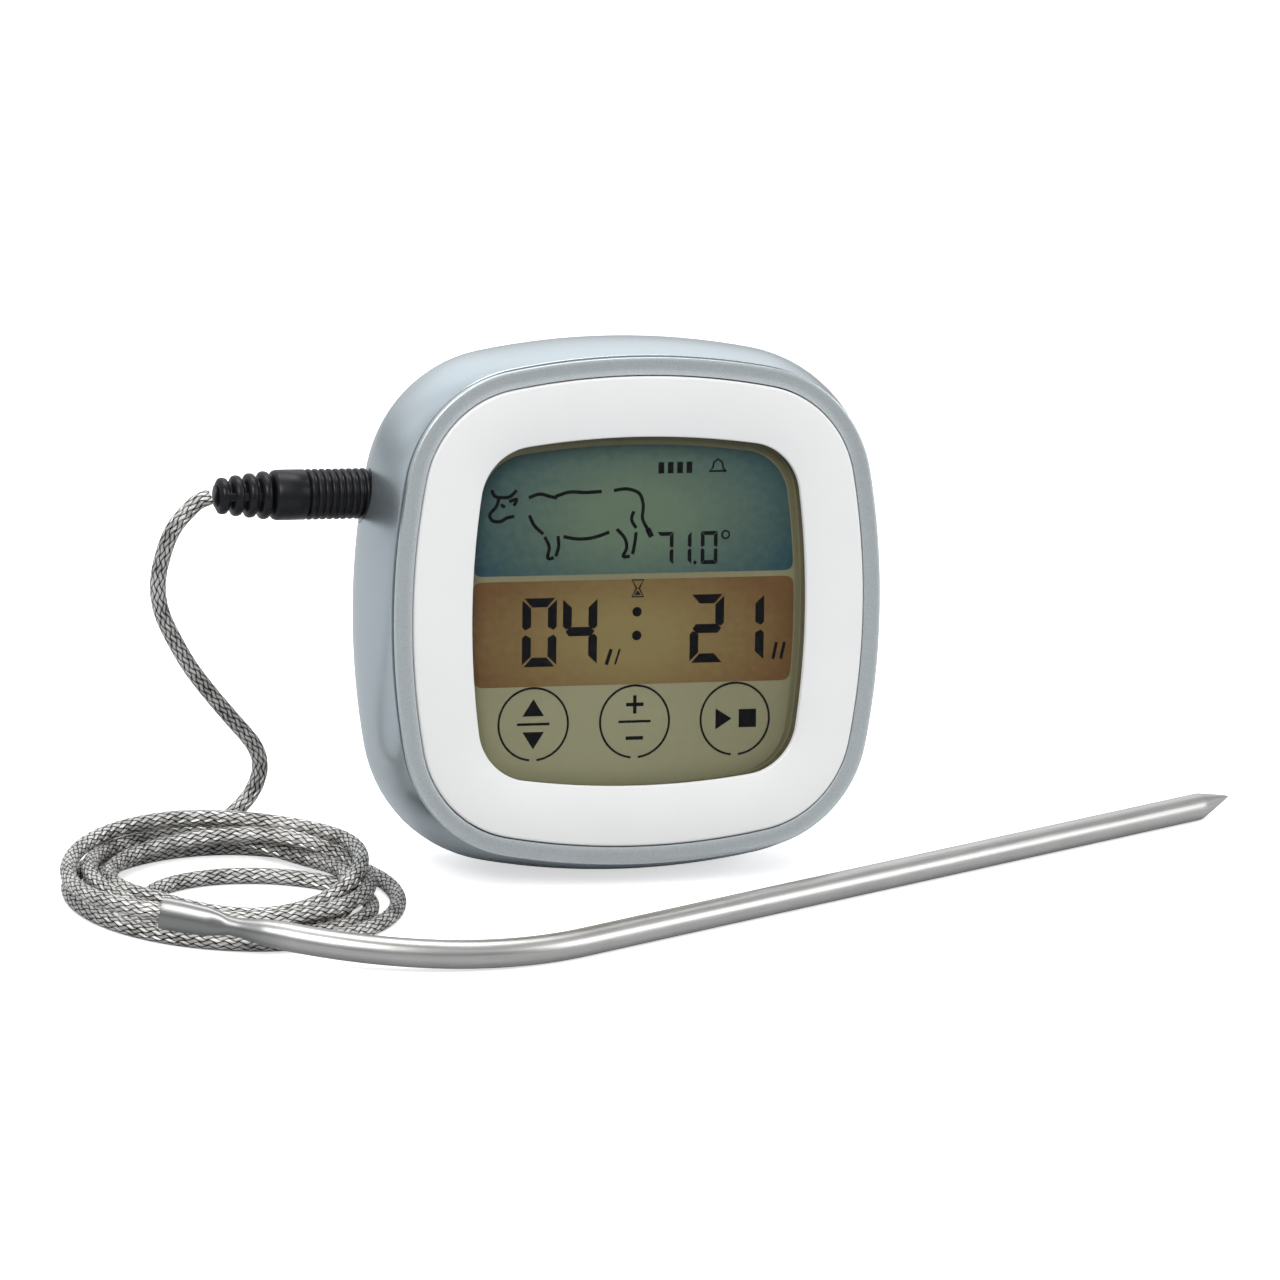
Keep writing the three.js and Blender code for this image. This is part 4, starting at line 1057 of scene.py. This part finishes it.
def display_ink():
    full = 2 * math.pi
    shapes = cattle_strokes()
    for digit, x in [("0", -16.55), ("4", -10.52), ("2", 8.43), ("1", 14.46)]:
        shapes += seven_segment(digit, x, -7.86, 5.1, 9.77, 1.3, 0.27)
    for z in (-0.35, -3.73):
        shapes.append(arc(0.49, z, 0.69, 0, full, 24))
    for x, foot, lean, rise, width in [(-4.0, -7.8, 0.7, 2.2, 0.5), (-2.7, -7.8, 0.7, 2.2, 0.28),
                                       (21.0, -7.6, 0.5, 2.4, 0.45), (22.2, -7.6, 0.5, 2.4, 0.45)]:
        shapes += stroke([(x, foot), (x + lean, foot + rise)], width)
    x, z = 0.56, 3.0
    glass = [(-0.85, 1.2), (0.85, 1.2), (0.2, 0), (0.85, -1.2), (-0.85, -1.2), (-0.2, 0)]
    shapes += stroke([(x + u, z + v) for u, v in glass], 0.26, True)
    shapes.append([(x + u, z + v) for u, v in [(-0.5, -0.95), (0.5, -0.95), (0, -0.3)]])
    for digit, x in [("7", 3.3), ("1", 6.0), ("0", 9.9)]:
        shapes += seven_segment(digit, x, 6.25, 2.5, 4.7, 0.55, 0.06)
    shapes.append(arc(9.05, 6.5, 0.26, 0, full, 12))
    shapes += stroke(arc(13.6, 10.4, 0.55, 0, full, 20), 0.26, True)
    for i in range(4):
        x = 3.4 + 1.4 * i
        shapes.append([(x, 19.3), (x + 0.85, 19.3), (x + 0.85, 20.9), (x, 20.9)])
    bell = [(11.0, 19.5), (11.5, 19.9), (11.7, 20.8), (12.3, 21.2), (12.9, 20.8), (13.1, 19.9),
            (13.6, 19.5)]
    shapes += stroke(bell, 0.26, True)
    return ink_piece("display_ink", shapes)


def key_marks():
    shapes = []
    minus, plus, play = KEY_PLACES
    start, end = math.radians(-84), math.radians(264)
    for x in KEY_PLACES:
        shapes += stroke(arc(x, KEY_HEIGHT, 5.15, start, end + (end - start) / 72, 73), 0.3)
    for x in (minus, plus):
        shapes += stroke([(x - 2.4, KEY_HEIGHT), (x + 2.4, KEY_HEIGHT)], 0.35)
    shapes.append([(minus - 1.6, -14.9), (minus + 1.6, -14.9), (minus, -12.45)])
    shapes.append([(minus - 1.6, -17.15), (minus, -19.6), (minus + 1.6, -17.15)])
    shapes += stroke([(plus, -12.3), (plus, -14.9)], 0.5)
    for z in (-13.6, -18.4):
        shapes += stroke([(plus - 1.3, z), (plus + 1.3, z)], 0.5)
    shapes.append([(play - 2.9, -17.5), (play - 2.9, -14.5), (play - 0.5, -16.0)])
    shapes.append([(play + 0.6, -17.3), (play + 3.2, -17.3), (play + 3.2, -14.7),
                   (play + 0.6, -14.7)])
    return ink_piece("key_marks", shapes)


def upper_zone():
    foot = UPPER_ZONE_FOOT
    outline = [(x, z - 0.5) for x, z in window_outline(24.0, sides=40, corners=16)]
    above = [(x, z) for x, z in outline if z > foot + 1.6]
    above.sort(key=lambda q: math.atan2(q[1] - foot, q[0]))
    x = side_limit(foot)
    radii = [0] * len(above) + [ZONE_CORNER, ZONE_CORNER]
    return rounded_corners(above + [(-x, foot), (x, foot)], radii)


def lower_zone():
    foot, top = LOWER_ZONE_FOOT, LOWER_ZONE_TOP
    heights = [foot + 1.6 + (top - foot - 3.2) * i / 8 for i in range(9)]
    right = [(side_limit(z), z) for z in [foot] + heights + [top]]
    left = [(-x, z) for x, z in right[::-1]]
    radii = [ZONE_CORNER] + [0] * len(heights) + [ZONE_CORNER]
    return rounded_corners(right + left, radii + radii)


# For each zone: its colour in the middle, its painted shade colour at the edges, then where the
# painted shade is centred and how far it reaches.
GLASS_LOOK = display_zone("display_base", (0.355, 0.345, 0.215), (0.27, 0.255, 0.15),
                          [-0.006, 0, -0.016], [0.032, 1, 0.018])
TEAL_LOOK = display_zone("display_teal", (0.150, 0.215, 0.150), (0.022, 0.072, 0.096),
                         [0.0, 0, 0.0135], [0.027, 1, 0.015])
ORANGE_LOOK = display_zone("display_orange", (0.290, 0.220, 0.088), (0.170, 0.085, 0.028),
                           [-0.001, 0, -0.004], [0.025, 1, 0.0125])
EDGE_LOOK = moulded("display_edge", (0.20, 0.185, 0.10), 0.45, amount=0.1)
FILM_RING = moulded("film_print", (0.15, 0.135, 0.075), 0.5, amount=0.1)


def local_piece(obj, look, slot, *nodes):
    """A piece of the display that keeps its own axes, so its painted shade can be placed on it."""
    obj.matrix_world = HOUSING @ Matrix.Scale(1000, 4)
    bpy.context.view_layer.update()
    finish_piece(obj, ROW, "housing", look, slot, *nodes)


def make_display():
    detail = {"sides": 20, "corners": 10}
    glass = [at_depth(window_outline(25.2, **detail), y) for y in (GLASS_FACE + 0.02, 5.3)]
    local_piece(ringed("display_glass", glass), GLASS_LOOK, "lcd", "lcd_glass")
    window = window_outline(24.9, **detail)
    lit = [(x * 0.985 - 0.35, z * 0.985 - 0.45) for x, z in window]
    for name, outline, look, front, back in [
            ("display_edge", window, EDGE_LOOK, 3.30, 3.315),
            ("display_field", lit, GLASS_LOOK, 3.294, 3.31),
            ("display_upper", upper_zone(), TEAL_LOOK, 3.28, 3.30),
            ("display_lower", lower_zone(), ORANGE_LOOK, 3.28, 3.30)]:
        local_piece(flat_piece(name, [outline], front, back), look, "lcd")
    local_piece(display_ink(), INK, "lcd")
    local_piece(key_marks(), INK, "lcd")
    section = [(25.05, 2.98), (26.3, 2.98), (26.3, 2.995), (25.05, 2.995)]
    rings = [at_depth(window_outline(half, **detail), y) for half, y in section]
    local_piece(ringed("film_print", rings, loop=True), FILM_RING, "touch_lens")


make_display()


# --- back of the housing

def battery_door():
    rings = slab_rings(-25.7, 25.7, 4.1, 25.4, 20.8, BACK_DEPTH, 1.2, front=0.15, back=0.3)
    door = ringed("door", rings, sharp=50)
    for i in range(3):
        z = 6.4 + 1.6 * i
        carve(door, rounded_slab("groove", -6, 6, z, z + 0.8, 21.6, 23, 0.38))
    resmooth(door, 40)
    finish_piece(door, HOUSING, "battery_door", SHELL, "shell_silver", "battery_door")


STAND = (Matrix.Translation((0, 19.7, -1.0)) @ Matrix.Rotation(math.radians(24.387), 4, "X"))


def stand_leg():
    half, length = 13, 35.3
    leg = ringed("stand_leg", slab_rings(-half, half, -length, 0, -0.3, 1.9, 1.5, 0.3, 0.3))
    for name, radius, place, segments in [("barrel", 2.1, (0, 0), 40),
                                          ("foot", 1.3, (0.8, -length), 32)]:
        ends = [(-half, radius - 0.15), (0.15 - half, radius)]
        profile = ends + [(-x, r) for x, r in ends[::-1]]
        carve(leg, turned(name, profile, "X", place, segments), "UNION")
    carve(leg, turned("notch", [(-5, 6), (6, 6)], "Y", (0, -length - 3), 64))
    resmooth(leg, 40)
    finish_piece(leg, HOUSING @ STAND, "stand", SHELL, "shell_silver", "stand")


def small_back_pieces():
    knob = rounded_slab("knob", 21.1, 24.7, -23.3, -20.7, 18.0, 21.9, 0.35, front=0.1, back=0.3)
    for i in range(3):
        x = 21.9 + i
        carve(knob, rounded_slab("rib", x - 0.2, x + 0.2, -24, -20, 21.5, 23, 0.1))
    resmooth(knob, 40)
    finish_piece(knob, HOUSING, "power_switch", DARK_PLASTIC, "dark_plastic", "switch_knob")
    for side, name in [(-1, "magnet_left"), (1, "magnet_right")]:
        profile = [(20.1, 4.9), (20.2, 5.0), (21.9, 5.0), (22.03, 4.94), (BACK_DEPTH, 4.8)]
        magnet = turned(name + "_disc", profile, "Y", (side * MAGNET_X, MAGNET_Z), 64)
        finish_piece(magnet, HOUSING, "housing", NICKEL, "nickel_plate", name)
    places = [(side * SCREW_X, z) for side in (-1, 1) for z in SCREW_HEIGHTS]
    profile = [(8.6, 0.02), (8.6, 1.0), (12.2, 1.1), (12.25, 2.0), (13.2, 2.1), (13.6, 1.95),
               (13.8, 1.5), (13.8, 0.02)]
    for number, (x, z) in enumerate(places, 1):
        screw = turned("screw", profile, "Y", (x, z), 32)
        for wide, tall in [(1.2, 0.3), (0.3, 1.2)]:
            carve(screw, rounded_slab("cross", x - wide, x + wide, z - tall, z + tall,
                                      13.2, 14.5, 0.1))
        resmooth(screw, 40)
        finish_piece(screw, HOUSING, "housing", NICKEL, "nickel_plate",
                     "case_screw_" + str(number))


battery_door()
stand_leg()
small_back_pieces()


# --- floor and light

def floor_look():
    """White to the camera; a softer grey in reflections, as in a studio."""
    look = Look("studio_floor", (0.9, 0.9, 0.9), 0.8, Specular_IOR_Level=0.1)
    seen = look.node("LightPath").outputs["Is Camera Ray"]
    look.set(Base_Color=look.blend(seen, (0.50, 0.51, 0.52), (0.9, 0.9, 0.9)),
             Emission_Color=(1, 1, 1), Emission_Strength=look.math("MULTIPLY", seen, 0.6))
    return look.material


def make_floor():
    """A plain floor, large enough to fill the view below the horizon."""
    bm = bmesh.new()
    bm.faces.new([bm.verts.new(p) for p in [(-4, -3, 0), (4, -3, 0), (4, 3, 0), (-4, 3, 0)]])
    floor = new_object("studio_floor", bm)
    floor.data.materials.append(floor_look())


def make_light(name, place, size, power):
    """A soft rectangular light that points at the middle of the object."""
    data = bpy.data.lights.new(name, "AREA")
    data.shape = "RECTANGLE"
    data.size, data.size_y = size
    data.energy = power
    obj = bpy.data.objects.new(name, data)
    bpy.context.scene.collection.objects.link(obj)
    obj.location = place
    aim = Vector((0, 0, 0.03)) - Vector(place)
    obj.rotation_euler = aim.to_track_quat("-Z", "Y").to_euler()


def make_world():
    """White to the camera; elsewhere grey, brighter above, behind and in patches."""
    world = bpy.context.scene.world or bpy.data.worlds.new("studio")
    bpy.context.scene.world = world
    world.use_nodes = True
    sky = Nodes(world.node_tree)
    around = sky.node("TexCoord").outputs["Generated"]
    parts = sky.node("SeparateXYZ", {"Vector": around})
    ramp = sky.node("ValToRGB", {"Fac": parts.outputs["Z"]})
    low_end, high_end = ramp.color_ramp.elements
    low_end.position, low_end.color = 0.0, (0.50, 0.52, 0.53, 1)
    high_end.position, high_end.color = 0.75, (0.85, 0.87, 0.9, 1)
    seen = sky.node("LightPath").outputs["Is Camera Ray"]
    colour = sky.blend(seen, ramp.outputs["Color"], (1, 1, 1))
    side = sky.span(parts.outputs["Y"], 0.45, 1.3, -1, 1)
    cards = sky.node("TexNoise", {"Scale": 1.7, "Detail": 1.0, "Vector": around})
    patches = sky.span(cards.outputs["Fac"], 0.55, 1.3, 0.38, 0.62)
    strength = sky.math("MAXIMUM", sky.math("MULTIPLY", side, patches), seen)
    sky.feed(sky.tree.nodes["Background"], {"Color": colour, "Strength": strength})


make_floor()
make_world()
make_light("key", (-0.45, -0.8, 0.9), (0.6, 0.6), 9)
make_light("top", (0.1, 0.3, 1.1), (0.9, 0.5), 6)
make_light("side", (0.95, -0.5, 0.45), (0.4, 0.6), 3)
bpy.context.scene.view_settings.view_transform = "Standard"
